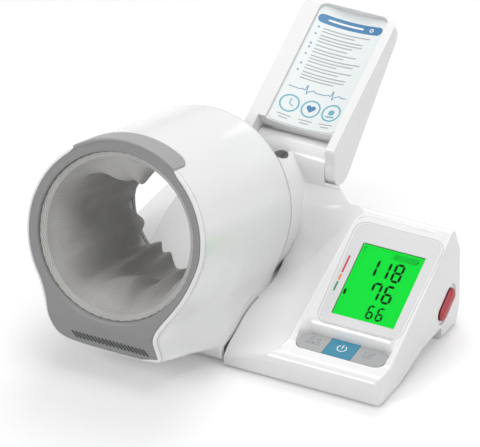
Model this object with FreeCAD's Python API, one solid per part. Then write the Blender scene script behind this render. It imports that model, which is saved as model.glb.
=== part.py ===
import FreeCAD, Part
import math
import os

# Arm-in blood pressure monitor: a desk unit with a display wedge, a tilting cuff tunnel,
# an elbow tray behind it and a flip-up instruction lid.
#
# Millimetres. X runs right, Y runs back and Z runs up from the table. The model is drawn
# from the front right bottom corner of the base, and save() moves it to DATUM, the middle
# of the front rubber strip's underside.

Vec = FreeCAD.Vector

# --- base wedge -------------------------------------------------------------------------
WEDGE_W = 143.0            # from the right face to the split plane beside the tunnel
POD_EDGE = (97.0, 87.0)    # left edge of the display pod from the right face, at its foot and top
POD_EDGE_Y = (15.0, 130.0)
WALL = 2.6                 # housing wall
NOSE_LEAN = 4.5            # overhang of the front face
NOSE_TOP = 27.5
NOSE_R = 8.0
RIM_Y = 21.5               # where the sloping panel starts
RIM_Z = 28.0
SLOPE = 29.8               # panel angle, degrees
RIDGE_Y = 142.0            # back end of the sloping panel
BACK_Y = 162.0             # furthest back point of the wedge
BACK_LOW_Z = 26.0
BACK_HIGH_Z = 52.0
BASE_BACK_Y = 148.0        # back of the underside
HOOD_RIDGE_Z = 100.0       # ridge height at the split plane
EDGE_R = 2.0               # round along the right face's upper edge
# Valley between the pod and the tunnel. Each station along Y has the height at the split
# plane, the drop below the panel at the pod's edge and the sag halfway between.
VALLEY = (
    (-9, -6, 26, 0), (-5, 3, 13, 0), (-2, 9, 3.0, 0), (2, 13.5, 0.9, 0), (8, 17.5, 0.8, 0),
    (15, 20.2, 1.2, 0), (23, 23.2, 2.9, 0), (33, 27.5, 4.4, 0), (45, 30.8, 5.0, 0),
    (58, 32.2, 5.2, 0), (70, 32.2, 5.2, 0), (82, 32.8, 5.0, 0.5), (94, 35.2, 4.6, 1),
    (103, 39, 4.1, 1.5), (111, 45, 3.5, 2.5), (118, 54, 2.9, 3.5), (125, 69, 2.2, 4.5),
    (132, 83, 1.8, 4), (138, 90.5, 1.5, 2), (144, 95, 1.0, 0.5), (149.3, 98.5, 0.7, 0))
VALLEY_ROOMS = (0.22, 0.62)    # shares at which the two rooms under the valley start
VALLEY_SHARES = (0, 0.12, 0.26, 0.42, 0.58, 0.74, 0.88, 1.0)
HOOD_RISE = ((-8, 26), (-4, 10), (-2, 3.5))    # left of the split plane: offset and rise
# Right of the pod's edge: offset, share of the drop that is left, and rise over the panel.
POD_RISE = ((0.8, 0.88, 0), (1.8, 0.58, 0), (2.8, 0.24, 0), (4.0, 0, 0), (5.5, 0, 0.5),
            (9, 0, 2.2), (13, 0, 5.5))
CORNER_R = 12.0            # plan radius of the wedge corners
CORNER_PAST = 0.2          # back corner's arc past the back face, so that the two don't graze
ARCH_Y = (32.0, 84.0, 118.0)   # finger arch under the right side: start, crown, end
ARCH_Z = 13.0
ARCH_DEPTH = 14.0
FOOT_GAP = 1.5             # underside above the table
COVER_T = 2.6              # bottom cover thickness
COVER_FIT = 0.2

# --- panel, keys and stop button ------------------------------------------------------------
OVERLAY_W = (73.5, 78.5)   # width at its lower and upper ends
OVERLAY_RIGHT = (5.5, 3.0) # from the right face, at its lower and upper ends
OVERLAY_START = 25.0       # up the slope from the start of the panel
OVERLAY_L = 97.0
OVERLAY_T = 1.6
OVERLAY_R = 9.0
LCD_W = 57.5
LCD_L = 70.5
LCD_RIGHT = 12.5
LCD_START = 34.0
LCD_T = 2.4
LCD_FRAME_T = 4.0
LENS_T = 1.0
STRIP_W = 81.0             # key strip
STRIP_RIGHT = 7.0
STRIP_Y = (15.5, 38.5)
STRIP_Z = 27.7             # height of the strip's surface at its front edge
STRIP_TILT = 5.0
STRIP_R = 9.0
# Flared walls of the key strip's recess: height over the strip, and growth of its outline.
STRIP_FLARE = ((-0.5, 0.4), (3, 1), (5.5, 2), (7.5, 3.3), (9.5, 5.2), (12, 8))
PLATE_T = 2.0
KEY_SPLITS = (-61.5, -35.5)  # where the user, start and memory keys meet
KEY_GAP = 0.35
KEY_T = 3.5
STEM_R = 2.0
STEM_FIT = 0.15
KEY_TRAVEL = 0.8
STOP_MID = (127.5, 30.0)   # Y, Z of the stop button
STOP_L = 30.0
STOP_W = 12.0
STOP_ANGLE = 33.0
STOP_PROUD = 1.2
STOP_TRAVEL = 1.0
STOP_DISH = 4.0            # dished ring round the stop button
STOP_SWITCH_T = 5.0
WELL_WALL = 2.0            # well under the key strip
WELL_LEDGE = 2.0

# --- tunnel ----------------------------------------------------------------------------
RING_LEFT = 76.5           # centre of the front ring from the split plane
RING = Vec(-WEDGE_W - RING_LEFT, -47.0, 129.7)
PITCH = 18.0               # the far end of the tunnel is lower
TUBE_L = 162.0
TUBE_FRONT_R = 81.0
TUBE_BACK_R = 84.0
TUBE_WALL = 3.0
BEZEL_W = 10.0             # from the tube's outside to the front bezel's inner edge
SLEEVE_R = 62.0            # inner radius of the cuff
SLEEVE_T = 2.2
BLADDER_T = 3.0
DRUM_T = 2.2
BLADDER_FRONT = 28.0       # bare drum in front of the bladder, and behind it
BLADDER_BACK = 12.0
SOFT_GAP = 0.3
BEZEL_T = 7.0
BEZEL_RIM = 3.5            # white edge of the shell round the bezel
FOOT_W = (-33.0, 57.0)     # left and right ends of the foot, from the ring centre
FOOT_DROP = 94.5           # foot below the ring centre
FOOT_L = 84.0
TUNNEL_FLOOR = 9.5         # underside of the tunnel above the table
VENTS = 20
VENT_W = 1.8
VENT_L = 8.0
TAB_ANGLES = (-36.0, 33.0) # tab over the top, degrees from straight up
TAB_L = 29.0
TAB_T = 1.6
BACK_RING_T = 4.0
RING_SCREWS = (-70.0, 0.0, 70.0)   # angles of the back ring's screws from straight up

# --- tunnel hinge ------------------------------------------------------------------------
HINGE_Y = 10.0
HINGE_Z = 13.0
HUB_R = 11.5
HUB_SINK = 7.0             # how deep the hub's web reaches into the tube
HUB_GAP = 0.5              # between the hub and the split plane
HUB_L = 56.0
FAIRING_TOP = ((24.0, 24.0), (30.0, 37.0))     # Y, Z where the fairing turns back over the hub
FAIRING_BACK_Y = 63.0      # back of the fairing over the hub
SHAFT_R = 4.0
SHAFT_BORE_R = 1.6         # the air hose runs through the shaft
SHAFT_REACH = 20.0         # the shaft's length inside the wedge
BUSH_T = 1.5
RUN_FIT = 0.05
LUG_T = 10.0
LUG_R = 9.0

# --- elbow tray and hood behind the tunnel --------------------------------------------------
TRAY_LEFT = -WEDGE_W - 154.0
TRAY_Y = (58.0, 214.0)
TRAY_TOP = 32.0
TRAY_CORNER = 30.0
ARM_R = 65.0
SWEEP_GAP = 2.0            # clearance round the tunnel
HOOD_T = 18.0
HOOD_L = 40.0
HOOD_ANGLES = (48.0, 128.0)
SHOULDER_L = 27.0          # taper from the hood down to the wedge's ridge
SILL_Z = 5.0               # tray floor under the tunnel

# --- lid -------------------------------------------------------------------------------
LID_Y = 166.0              # lid hinge axis
LID_Z = 112.5
LID_SLOPE = 28.0
LID_X = (-WEDGE_W - 60.0, -WEDGE_W + 27.0)
LID_L = 134.0
LID_RIM = 29.5             # rim above the axis, square to the card
LID_TIP_T = 12.0
LID_KNUCKLE_R = 16.5
ARM_W = 9.0                # lid arms either side of the hinge block
ARM_GAP = 0.4
CARD_W = 64.0
CARD_X = LID_X[0] + 47.5   # middle of the card
CARD_L = 115.0
CARD_T = 0.8
CARD_DROP = 3.0            # card below the rim
CARD_START = 12.0
TROUGH_R = 110.0
PIN_R = 2.5
PIN_L = 14.0
NICHE_R = 11.0
GRILLE_R = 10.0
NICHE_X = LID_X[0] + 38.0
GRILLE_SLOPE = 34.0
GRILLE_T = 2.0
GRILLE_HOLE_R = 0.9
SPEAKER_T = 9.0

# --- inside --------------------------------------------------------------------------------
CELL_R = 7.1
CELL_L = 50.0
CELLS = 4
CELL_GAP = 0.6             # between the cells
BAY_WALL = 1.6
BAY_GAP = 26.0             # battery bay from the split plane
BAY_Y = 44.0
BAY_H = 2 * CELL_R + 5.0   # height of the battery bay over the underside
SPRING_L = 2.4
COVER_PROUD = 0.6          # battery cover below the underside
COVER_GAP = 0.4
COVER_TRAVEL = 8.0         # slide that frees the battery cover's hooks
HOOK_LIP = 1.2
HOOK_T = 1.2
HOOK_L = 5.0
HOOK_REACH = 1.2
PCB_T = 1.6
PUMP_R = 12.0
PUMP_L = 52.0
PUMP_GAP = 12.0            # right end of the pump from the finger arch
PUMP_YZ = (104.0, 36.0)    # its axis
VALVE_GAP = 13.0           # valve's middle from the hose's way down
VALVE_YZ = (122.0, 28.0)
VALVE_H = 12.0
HOSE_R = 1.5
HOSE_FIT = 0.5             # round the hose in its way to the shaft
HOSE_GAP = 3.0             # from the pump's spout to the hose's first bend
HOSE_DROP_X = -STRIP_RIGHT - STRIP_W - 6.0     # where the hose goes down, beside the key strip
JACK_XZ = (-60.0, 30.0)    # DC socket in the back face
JACK_R = 2.75
SCREW_R = 1.4
SCREW_HEAD_R = 2.8
SCREW_BOSS_R = 3.6
STRIP_FOOT_W = 56.0        # front rubber strip
STRIP_FOOT_D = 8.0
STRIP_FOOT_Y = 14.0
PAD_R = 6.0                # round rubber pads

DATUM = Vec(-WEDGE_W / 2, STRIP_FOOT_Y, 0)
BIG = 600.0

TAN_SLOPE = math.tan(math.radians(SLOPE))
RIDGE_Z = RIM_Z + (RIDGE_Y - RIM_Y) * TAN_SLOPE
TUNNEL_PLACE = FreeCAD.Placement(RING, FreeCAD.Rotation(Vec(1, 0, 0), 90 - PITCH))
PANEL_PLACE = FreeCAD.Placement(Vec(0, RIM_Y, RIM_Z), FreeCAD.Rotation(Vec(1, 0, 0), SLOPE))
STRIP_PLACE = FreeCAD.Placement(Vec(0, STRIP_Y[0], STRIP_Z), FreeCAD.Rotation(Vec(1, 0, 0), STRIP_TILT))
LID_PLACE = FreeCAD.Placement(Vec(0, LID_Y, LID_Z), FreeCAD.Rotation(Vec(1, 0, 0), LID_SLOPE))
STRIP_L = (STRIP_Y[1] - STRIP_Y[0]) / math.cos(math.radians(STRIP_TILT))
GUIDE_Z = -KEY_T - KEY_TRAVEL - 0.3 - PLATE_T    # underside of the key guide
STEM_L = -GUIDE_Z - KEY_T + 1.5
SWITCH_T = 3.0
BOARD_Z = -KEY_T - STEM_L - KEY_TRAVEL - 0.2 - SWITCH_T    # top of the circuit board
STOP_SWITCH_X = -WALL - 3.4 - STOP_TRAVEL - 0.2    # face of the stop switch
FLOOR_Z = FOOT_GAP + COVER_T           # top of the bottom cover and of the floor round it
DRUM_R = SLEEVE_R + SLEEVE_T + BLADDER_T + DRUM_T + 2 * SOFT_GAP


# --- drawing helpers -----------------------------------------------------------------------
def outline(corners, to3d):
    """Closed wire through corners (a, b, radius), with a tangent arc at each radius."""
    ends = []
    count = len(corners)
    for i, (a, b, radius) in enumerate(corners):
        here = Vec(a, b, 0)
        before = Vec(*corners[i - 1][:2], 0) - here
        after = Vec(*corners[(i + 1) % count][:2], 0) - here
        before.normalize()
        after.normalize()
        if radius <= 0:
            ends.append((here, here, None))
            continue
        half = math.acos(max(-1, min(1, before.dot(after)))) / 2
        reach = radius / math.tan(half)
        middle = before + after
        middle.normalize()
        centre = here + middle * (radius / math.sin(half))
        ends.append((here + before * reach, here + after * reach, centre - middle * radius))
    edges = []
    for i, (start, end, top) in enumerate(ends):
        if top is not None:
            edges.append(Part.Arc(to3d(start), to3d(top), to3d(end)).toShape())
        following = ends[(i + 1) % count][0]
        if (following - end).Length > 1e-6:
            edges.append(Part.makeLine(to3d(end), to3d(following)))
    return Part.Wire(edges)


def on_yz(x):
    return lambda p: Vec(x, p.x, p.y)


def on_xy(z):
    return lambda p: Vec(p.x, p.y, z)


def prism_yz(corners, x0, x1):
    """Side profile in Y and Z, pulled from x0 to x1."""
    return Part.Face(outline(corners, on_yz(x0))).extrude(Vec(x1 - x0, 0, 0))


def prism_xy(corners, z0, z1):
    """Plan profile in X and Y, pulled from z0 to z1."""
    return Part.Face(outline(corners, on_xy(z0))).extrude(Vec(0, 0, z1 - z0))


def slab(x0, x1, y0, y1, z0, z1, radius=0.0):
    """Box between limits, with its four upright edges rounded."""
    corners = [(x0, y0, radius), (x1, y0, radius), (x1, y1, radius), (x0, y1, radius)]
    return prism_xy(corners, z0, z1)


def rod(radius, length, base, axis):
    return Part.makeCylinder(radius, length, base, axis)


def tube(outer, inner, length, base, axis):
    return rod(outer, length, base, axis).cut(rod(inner, length, base, axis))


def placed(shape, placement):
    moved = shape.copy()
    moved.Placement = placement.multiply(moved.Placement)
    return moved


def sector(inner, outer, angles, back, front):
    """Part of a ring in the tunnel's own frame, angles from straight up towards +X."""
    start, end = angles
    steps = [start + (end - start) * i / 4 for i in range(5)]

    def spot(radius, angle):
        turn = math.radians(angle)
        return Vec(radius * math.sin(turn), radius * math.cos(turn), back)
    edges = []
    for radius, order in ((outer, steps), (inner, steps[::-1])):
        edges.append(Part.Arc(spot(radius, order[0]), spot(radius, order[1]), spot(radius, order[2])).toShape())
        edges.append(Part.Arc(spot(radius, order[2]), spot(radius, order[3]), spot(radius, order[4])).toShape())
    edges.insert(2, Part.makeLine(spot(outer, end), spot(inner, end)))
    edges.append(Part.makeLine(spot(inner, start), spot(outer, start)))
    return Part.Face(Part.Wire(edges)).extrude(Vec(0, 0, front - back))


def save(name, shape):
    moved = shape.copy()
    moved.translate(DATUM * -1)
    moved.exportStep("parts/" + name + ".step")


# --- base housing ---------------------------------------------------------------------------
def wedge_side(inset=0.0):
    """Side profile of the display wedge, drawn in by inset."""
    low = FOOT_GAP
    return [(inset, low, 2), (inset - NOSE_LEAN, NOSE_TOP - inset, NOSE_R),
            (RIM_Y + inset, RIM_Z - inset, 6), (RIDGE_Y - inset / 2, RIDGE_Z - inset * 1.3, 6),
            (BACK_Y - inset, BACK_HIGH_Z, 12), (BACK_Y - inset, BACK_LOW_Z, 10),
            (BASE_BACK_Y - inset, low, 2)]


def panel_z(y):
    """Height of the front step, and behind it of the sloping panel."""
    return RIM_Z + max(0, y - RIM_Y) * TAN_SLOPE


def pod_edge(y):
    """Left edge of the display pod, slanted over its length."""
    foot, top = POD_EDGE
    share = (y - POD_EDGE_Y[0]) / (POD_EDGE_Y[1] - POD_EDGE_Y[0])
    return -foot + (foot - top) * min(1.1, max(-0.1, share))


def valley_point(station, share):
    """Point of the valley floor, from the split plane at 0 to the pod's edge at 1."""
    y, seam, drop, sag = station
    foot = panel_z(y) - drop
    ease = share ** (1 + 0.5 * min(1, max(0, (y - 10) / 40)))
    z = seam + (foot - seam) * ease - sag * math.sin(math.pi * share)
    return Vec(-WEDGE_W + share * (pod_edge(y) + WEDGE_W), y, z)


def valley_room():
    """Air over the valley: one smooth surface through all its stations, pulled up."""
    rows = []
    for station in VALLEY:
        y, seam, drop, _ = station
        row = [Vec(-WEDGE_W + offset, y, seam + rise) for offset, rise in HOOD_RISE]
        row += [valley_point(station, share) for share in VALLEY_SHARES]
        row += [Vec(pod_edge(y) + offset, y, panel_z(y) - drop * left + rise)
                for offset, left, rise in POD_RISE]
        rows.append(row)
    surface = Part.BSplineSurface()
    surface.interpolate(rows)
    return surface.toShape().extrude(Vec(0, 0, BIG / 2))


def wedge_body():
    """Display wedge with rounded plan corners and a rounded upper edge on its right."""
    wedge = prism_yz(wedge_side(), -WEDGE_W, 0)
    square = -WEDGE_W / 2
    plan = slab(-BIG, 0, -NOSE_LEAN - 1, BACK_Y + CORNER_PAST, -1, BIG, CORNER_R)
    wedge = wedge.common(plan.fuse(slab(-BIG, square, -20, BACK_Y + 1, -1, BIG)))
    upper = [edge for edge in wedge.Edges if is_upper_right(edge.BoundBox)]
    return wedge.makeFillet(EDGE_R, upper)


def is_upper_right(box):
    low = BACK_HIGH_Z - 12 if box.YMin > RIDGE_Y else NOSE_TOP / 2
    return box.XMax > -0.01 and box.XMin > -CORNER_R - 0.5 and box.ZMin > low and box.YLength > 0.5


def arch_cut():
    corners = [(ARCH_Y[0], -5, 0), (ARCH_Y[0], FOOT_GAP - 0.1, 0), (ARCH_Y[1], ARCH_Z, 8),
               (ARCH_Y[2], ARCH_Z, 3), (ARCH_Y[2], -5, 0)]
    return prism_yz(corners, -ARCH_DEPTH, 1)


def strip_outline(grow, z):
    """Rounded plan of the key strip in the strip's own frame."""
    x0 = -STRIP_RIGHT - STRIP_W - grow
    x1 = -STRIP_RIGHT + grow
    corners = [(x0, -grow, STRIP_R), (x1, -grow, STRIP_R), (x1, STRIP_L + grow, STRIP_R),
               (x0, STRIP_L + grow, STRIP_R)]
    return outline(corners, on_xy(z))


def strip_recess():
    """Recess over the key strip, whose walls flare into the panel."""
    return placed(Part.makeLoft([strip_outline(grow, z) for z, grow in STRIP_FLARE], True), STRIP_PLACE)


def strip_block(grow, z0, z1):
    return placed(Part.Face(strip_outline(grow, z0)).extrude(Vec(0, 0, z1 - z0)), STRIP_PLACE)


def panel_block(right, width, start, length, radius, z0, z1):
    """Rounded block in the sloping panel's own frame."""
    return placed(slab(-right - width, -right, start, start + length, z0, z1, radius), PANEL_PLACE)


def stop_block(grow, x0, x1):
    """Obround along the panel slope on the right face."""
    half = STOP_L / 2 + grow
    width = STOP_W / 2 + grow
    corners = [(-half, -width, width - 0.01), (half, -width, width - 0.01),
               (half, width, width - 0.01), (-half, width, width - 0.01)]
    block = Part.Face(outline(corners, on_yz(x0))).extrude(Vec(x1 - x0, 0, 0))
    block.rotate(Vec(0, 0, 0), Vec(1, 0, 0), STOP_ANGLE)
    block.translate(Vec(0, *STOP_MID))
    return block


def tunnel_clearance():
    """Space that the tunnel needs in the base, down to the sill under it."""
    column = rod(TUBE_BACK_R + SWEEP_GAP, TUBE_L + SWEEP_GAP, Vec(0, 0, -TUBE_L - SWEEP_GAP), Vec(0, 0, 1))
    return placed(column, TUNNEL_PLACE).common(slab(-BIG, BIG, -BIG, BIG, SILL_Z + SWEEP_GAP, BIG))


def arm_path():
    """Way of the arm through the tunnel and on over the elbow tray."""
    path = placed(rod(ARM_R, BIG, Vec(0, 0, -BIG), Vec(0, 0, 1)), TUNNEL_PLACE)
    return path.common(above_floor(SILL_Z + SWEEP_GAP))


def elbow_tray():
    y0, y1 = TRAY_Y
    return slab(TRAY_LEFT, -WEDGE_W + 30, y0, y1, FOOT_GAP, TRAY_TOP, TRAY_CORNER)


def hood_ring():
    """Arch behind the tunnel, in line with it."""
    front = -TUBE_L - SWEEP_GAP
    return placed(sector(ARM_R, ARM_R + HOOD_T, HOOD_ANGLES, front - HOOD_L, front), TUNNEL_PLACE)


def hood_flank(inner):
    """Back of the base under the lid hinge, with a shoulder down to the wedge's ridge."""
    crown = grille_seat()
    rise = math.tan(math.radians(GRILLE_SLOPE))
    corners = [(TRAY_Y[0] + 60, FOOT_GAP, 0), (crown.y - 30, crown.z - 30 * rise, 8),
               (crown.y + 8, crown.z + 8 * rise, 3), (LID_Y + 14, BACK_HIGH_Z + 30, 10),
               (LID_Y + 20, BACK_LOW_Z, 14), (BACK_Y + 14, FOOT_GAP, 0)]
    block_end = LID_X[1] - ARM_W - ARM_GAP
    flank = prism_yz(corners, -WEDGE_W - 34, block_end)
    merged = [(TRAY_Y[0] + 60, FOOT_GAP, 0), (RIDGE_Y - 22, RIDGE_Z - 16, 8), (RIDGE_Y - 0.5, RIDGE_Z - 1, 3),
              (BACK_Y - 1, BACK_HIGH_Z + 1, 10), (BACK_Y - 1, BACK_LOW_Z + 1, 10), (BASE_BACK_Y - 0.5, FOOT_GAP, 0)]
    ends = [outline(corners, on_yz(block_end)), outline(merged, on_yz(block_end + SHOULDER_L))]
    knuckle = rod(LID_KNUCKLE_R + SWEEP_GAP, SHOULDER_L, Vec(block_end, LID_Y, LID_Z), Vec(1, 0, 0))
    return flank.fuse(Part.makeLoft(ends, True, True).cut(knuckle)).cut(inner).cut(valley_room())


def hub_pocket():
    """Room for the tunnel's hub between the split plane and the left lug."""
    left = -WEDGE_W - HUB_L - LUG_T - 4
    low = slab(left, -WEDGE_W, -20, TRAY_Y[0] - 20, -5, BIG)
    return low.fuse(slab(left, -WEDGE_W, 0, FAIRING_BACK_Y + SWEEP_GAP, SILL_Z + SWEEP_GAP, BIG))


def lug_right():
    return -WEDGE_W - HUB_GAP - HUB_L - HUB_GAP


def lug():
    """Left bearing of the tunnel hinge, on an arm from the tray."""
    x1 = lug_right()
    x0 = x1 - LUG_T
    eye = rod(LUG_R, LUG_T, Vec(x0, HINGE_Y, HINGE_Z), Vec(1, 0, 0))
    arm = slab(x0, x1, HINGE_Y, TRAY_Y[0] + 12, FOOT_GAP, SILL_Z + SWEEP_GAP + 1)
    return eye.fuse(arm)


def grille_seat():
    """Middle of the speaker grille, on the slope below the hinge block."""
    return Vec(NICHE_X, LID_Y - LID_KNUCKLE_R + 3, HOOD_RIDGE_Z + 3)


def grille_rod(radius, low, high, offset=Vec(0, 0, 0)):
    """Round bar square to the grille's slope, between two heights over it."""
    bar = rod(radius, high - low, offset + Vec(0, 0, low), Vec(0, 0, 1))
    return placed(bar, FreeCAD.Placement(grille_seat(), FreeCAD.Rotation(Vec(1, 0, 0), GRILLE_SLOPE)))


def display_wedge(inner):
    """Hollow wedge with its pockets, cut by the valley last."""
    body = wedge_body().cut(strip_recess()).cut(strip_block(0, GUIDE_Z, 0.1))
    body = body.cut(strip_block(-WELL_LEDGE, BOARD_Z - PCB_T - 1, GUIDE_Z + 0.1)).cut(arch_cut()).cut(inner)
    body = body.fuse(switch_bracket()).cut(overlay_block(0, -OVERLAY_T, 20))
    body = body.cut(panel_block(LCD_RIGHT, LCD_W, LCD_START, LCD_L, 2, -12, 1))
    body = body.cut(stop_block(STOP_DISH, -1.2, 1)).cut(stop_block(KEY_GAP, -12, 1))
    shaft_seat = rod(SHAFT_R, SHAFT_REACH + 2, Vec(-WEDGE_W - 1, HINGE_Y, HINGE_Z), Vec(1, 0, 0))
    hose_way = rod(HOSE_R + HOSE_FIT, WEDGE_W + HOSE_DROP_X, Vec(-WEDGE_W, HINGE_Y, HINGE_Z), Vec(1, 0, 0))
    turn_r = HOSE_R + 2 * HOSE_FIT
    hose_turn = rod(turn_r, BAY_Y - HINGE_Y, Vec(HOSE_DROP_X, HINGE_Y - turn_r, HINGE_Z), Vec(0, 1, 0))
    return body.cut(shaft_seat).cut(hose_way).cut(hose_turn).cut(jack_seat()).cut(valley_room())


def base_housing():
    inner = base_cavity().fuse([cover_plan(COVER_FIT, -1, FLOOR_Z), screw_pilots()])
    flank = hood_flank(inner)
    body = display_wedge(inner).fuse([elbow_tray().cut(inner), hood_ring(), flank])
    body = body.cut(hub_pocket()).fuse(lug())
    lug_bore = rod(SHAFT_R, LUG_T + 2, Vec(lug_right() - LUG_T - 1, HINGE_Y, HINGE_Z), Vec(1, 0, 0))
    body = body.cut(lug_bore).cut(tunnel_clearance()).cut(arm_path()).cut(grille_pocket())
    return body.removeSplitter()


def under_valley(share, x0, x1):
    """Room under the valley from x0 to x1, with a wall over it where that share lies."""
    top = [valley_point(station, share) for station in VALLEY[6:17]]
    roof = WALL * 1.3
    corners = [(top[0].y, FLOOR_Z, 0)] + [(point.y, point.z - roof, 0) for point in top]
    corners += [(BASE_BACK_Y - WALL - 6, top[-1].z - roof, 0), (BASE_BACK_Y - WALL, FLOOR_Z, 0)]
    return prism_yz(corners, x0, x1)


def base_cavity():
    """Inside of the display wedge, over its floor."""
    side = wedge_side(WALL)
    low = [(y, FLOOR_Z if z == FOOT_GAP else z, 0) for y, z, _ in side]
    low_start, high_start = [valley_point(VALLEY[6], share).x for share in VALLEY_ROOMS]
    pod_start = POD_RISE[3][0] - POD_EDGE[1] - WALL / 2
    hollow = prism_yz(low, pod_start, -WALL).fuse([under_valley(VALLEY_ROOMS[0], low_start, high_start),
                                                   under_valley(VALLEY_ROOMS[1], high_start, pod_start)])
    plan = slab(-BIG, -WALL, WALL, BACK_Y - WALL, -2, BIG, CORNER_R - WALL)
    hollow = hollow.common(plan)
    arch = prism_yz([(ARCH_Y[0] - WALL, -5, 0), (ARCH_Y[0] - WALL, FOOT_GAP + WALL, 0),
                     (ARCH_Y[1], ARCH_Z + WALL, 0), (ARCH_Y[2] + WALL, ARCH_Z + WALL, 0),
                     (ARCH_Y[2] + WALL, -5, 0)], -ARCH_DEPTH - WALL, 1)
    column = rod(TUBE_BACK_R + SWEEP_GAP + WALL, BIG, Vec(0, 0, -BIG), Vec(0, 0, 1))
    bosses = [rod(SCREW_BOSS_R, BIG, Vec(x, y, FOOT_GAP + COVER_T), Vec(0, 0, 1)) for x, y in screw_spots()]
    well = strip_block(WELL_WALL, GUIDE_Z - WELL_LEDGE, 5)
    return hollow.cut([arch, placed(column, TUNNEL_PLACE), shaft_boss(), well] + bosses)


def screw_pilots():
    pilots = [rod(SCREW_R, 10, Vec(x, y, FOOT_GAP), Vec(0, 0, 1)) for x, y in screw_spots()]
    return Part.makeCompound(pilots)


def switch_bracket():
    """Shelf off the right wall that backs the stop switch."""
    back = STOP_SWITCH_X - STOP_SWITCH_T
    y, z = STOP_MID
    shelf = slab(back - WALL, -WALL + 0.5, y - 4, y + 4, z - 19, z - 16)
    return shelf.fuse(slab(back - WALL, back, y - 4, y + 4, z - 19, z + 5))


def shaft_boss():
    return rod(SHAFT_R + 3, SHAFT_REACH + 4, Vec(-WEDGE_W, HINGE_Y, HINGE_Z), Vec(1, 0, 0))


def jack_mid():
    return Vec(JACK_XZ[0], BACK_Y, JACK_XZ[1])


def jack_seat():
    return rod(JACK_R + 2.2, 14, jack_mid() + Vec(0, -12, 0), Vec(0, 1, 0))


def grille_pocket():
    return grille_rod(GRILLE_R, -GRILLE_T - SPEAKER_T, 60)


# --- pieces fixed to the base -----------------------------------------------------------------
def cover_plan(grow, z0, z1):
    x0, x1 = -WEDGE_W + WALL + 8, -ARCH_DEPTH - WALL - 1
    return slab(x0 - grow, x1 + grow, WALL + 20 - grow, BASE_BACK_Y - WALL - 1 + grow, z0, z1, 5)


def bay_limits():
    """Battery bay for four cells side by side, lengthways along X."""
    x0 = -WEDGE_W + BAY_GAP
    return x0, x0 + CELL_L + 2 * SPRING_L, BAY_Y, BAY_Y + CELLS * (2 * CELL_R + CELL_GAP) + CELL_GAP


def hook_spots():
    """Front ends of the battery cover's hooks."""
    _, _, y0, y1 = bay_limits()
    return y0 + 4, y1 - 4 - HOOK_L


def hook_track(x0, x1):
    """Grooves along both ends of the bay for the cover's hooks, with a drop-out notch each."""
    _, _, y0, y1 = bay_limits()
    low = FOOT_GAP + HOOK_LIP
    cuts = [slab(x0, x1, y0, y1 + COVER_TRAVEL + COVER_GAP, low, low + HOOK_T + 0.4)]
    for y in hook_spots():
        y += COVER_TRAVEL
        cuts.append(slab(x0, x1, y - COVER_GAP, y + HOOK_L + COVER_GAP, 0, low + 0.5))
    return cuts


def bay_opening():
    """Hollow of the bay, the recess that the cover slides into and the hook grooves."""
    x0, x1, y0, y1 = bay_limits()
    hollow = slab(x0, x1, y0, y1, FOOT_GAP - 1, FOOT_GAP + BAY_H - BAY_WALL)
    recess = slab(x0, x1, y1 - 1, y1 + COVER_TRAVEL, FOOT_GAP - 1, FOOT_GAP + HOOK_LIP)
    reach = HOOK_REACH + COVER_GAP
    return [hollow, recess] + hook_track(x0 - reach, x0 + reach) + hook_track(x1 - reach, x1 + reach)


def bottom_cover():
    x0, x1, y0, y1 = bay_limits()
    plate = cover_plan(0, FOOT_GAP, FOOT_GAP + COVER_T)
    bay = slab(x0 - BAY_WALL, x1 + BAY_WALL, y0 - BAY_WALL, y1 + BAY_WALL, FOOT_GAP, FOOT_GAP + BAY_H)
    plate = plate.fuse(bay).cut(bay_opening())
    for x, y in screw_spots():
        plate = plate.cut(rod(SCREW_R + 0.1, 30, Vec(x, y, -5), Vec(0, 0, 1)))
        plate = plate.cut(rod(SCREW_HEAD_R + 0.2, 1.4, Vec(x, y, FOOT_GAP - 0.1), Vec(0, 0, 1)))
    return plate.fuse(pump_cradle()).fuse(board_posts())


def pump_cradle():
    """Two saddles under the pump and a post under the valve, on the bottom cover."""
    low = FOOT_GAP + COVER_T - 0.5
    x, y, z = pump_start()
    saddles = [slab(x - 8 - step, x - 5 - step, y - 9, y + 9, low, z - 4) for step in (0, 14)]
    room = rod(PUMP_R + 0.1, PUMP_L, Vec(x - PUMP_L, y, z), Vec(1, 0, 0))
    vx, vy, vz = valve_mid()
    post = slab(vx - 4, vx + 4, vy - 4, vy + 4, low, vz - VALVE_H / 2)
    return Part.makeCompound([saddle.cut(room) for saddle in saddles] + [post])


def board_posts():
    """Posts that carry the circuit board."""
    low = FOOT_GAP + COVER_T - 0.5
    posts = [rod(2.5, 30, Vec(x, 28, low), Vec(0, 0, 1))
             for x in (-STRIP_RIGHT - STRIP_W + 10, -STRIP_RIGHT - 14)]
    over = placed(slab(-BIG, BIG, -BIG, BIG, BOARD_Z - PCB_T, BIG), STRIP_PLACE)
    return Part.makeCompound([post.cut(over) for post in posts])


def screw_spots():
    return [(x, y) for x in (-WEDGE_W + 18, -ARCH_DEPTH - WALL - 8) for y in (43, BASE_BACK_Y - 12)]


def screw(x, y, z, length):
    head = rod(SCREW_HEAD_R, 1.2, Vec(x, y, z), Vec(0, 0, 1))
    shank = rod(SCREW_R, length, Vec(x, y, z), Vec(0, 0, 1))
    slot = slab(x - 2, x + 2, y - 0.35, y + 0.35, z - 1, z + 0.6)
    return head.fuse(shank).cut(slot)


def bottom_screws():
    return Part.makeCompound([screw(x, y, FOOT_GAP + 0.1, 9) for x, y in screw_spots()])


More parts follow.
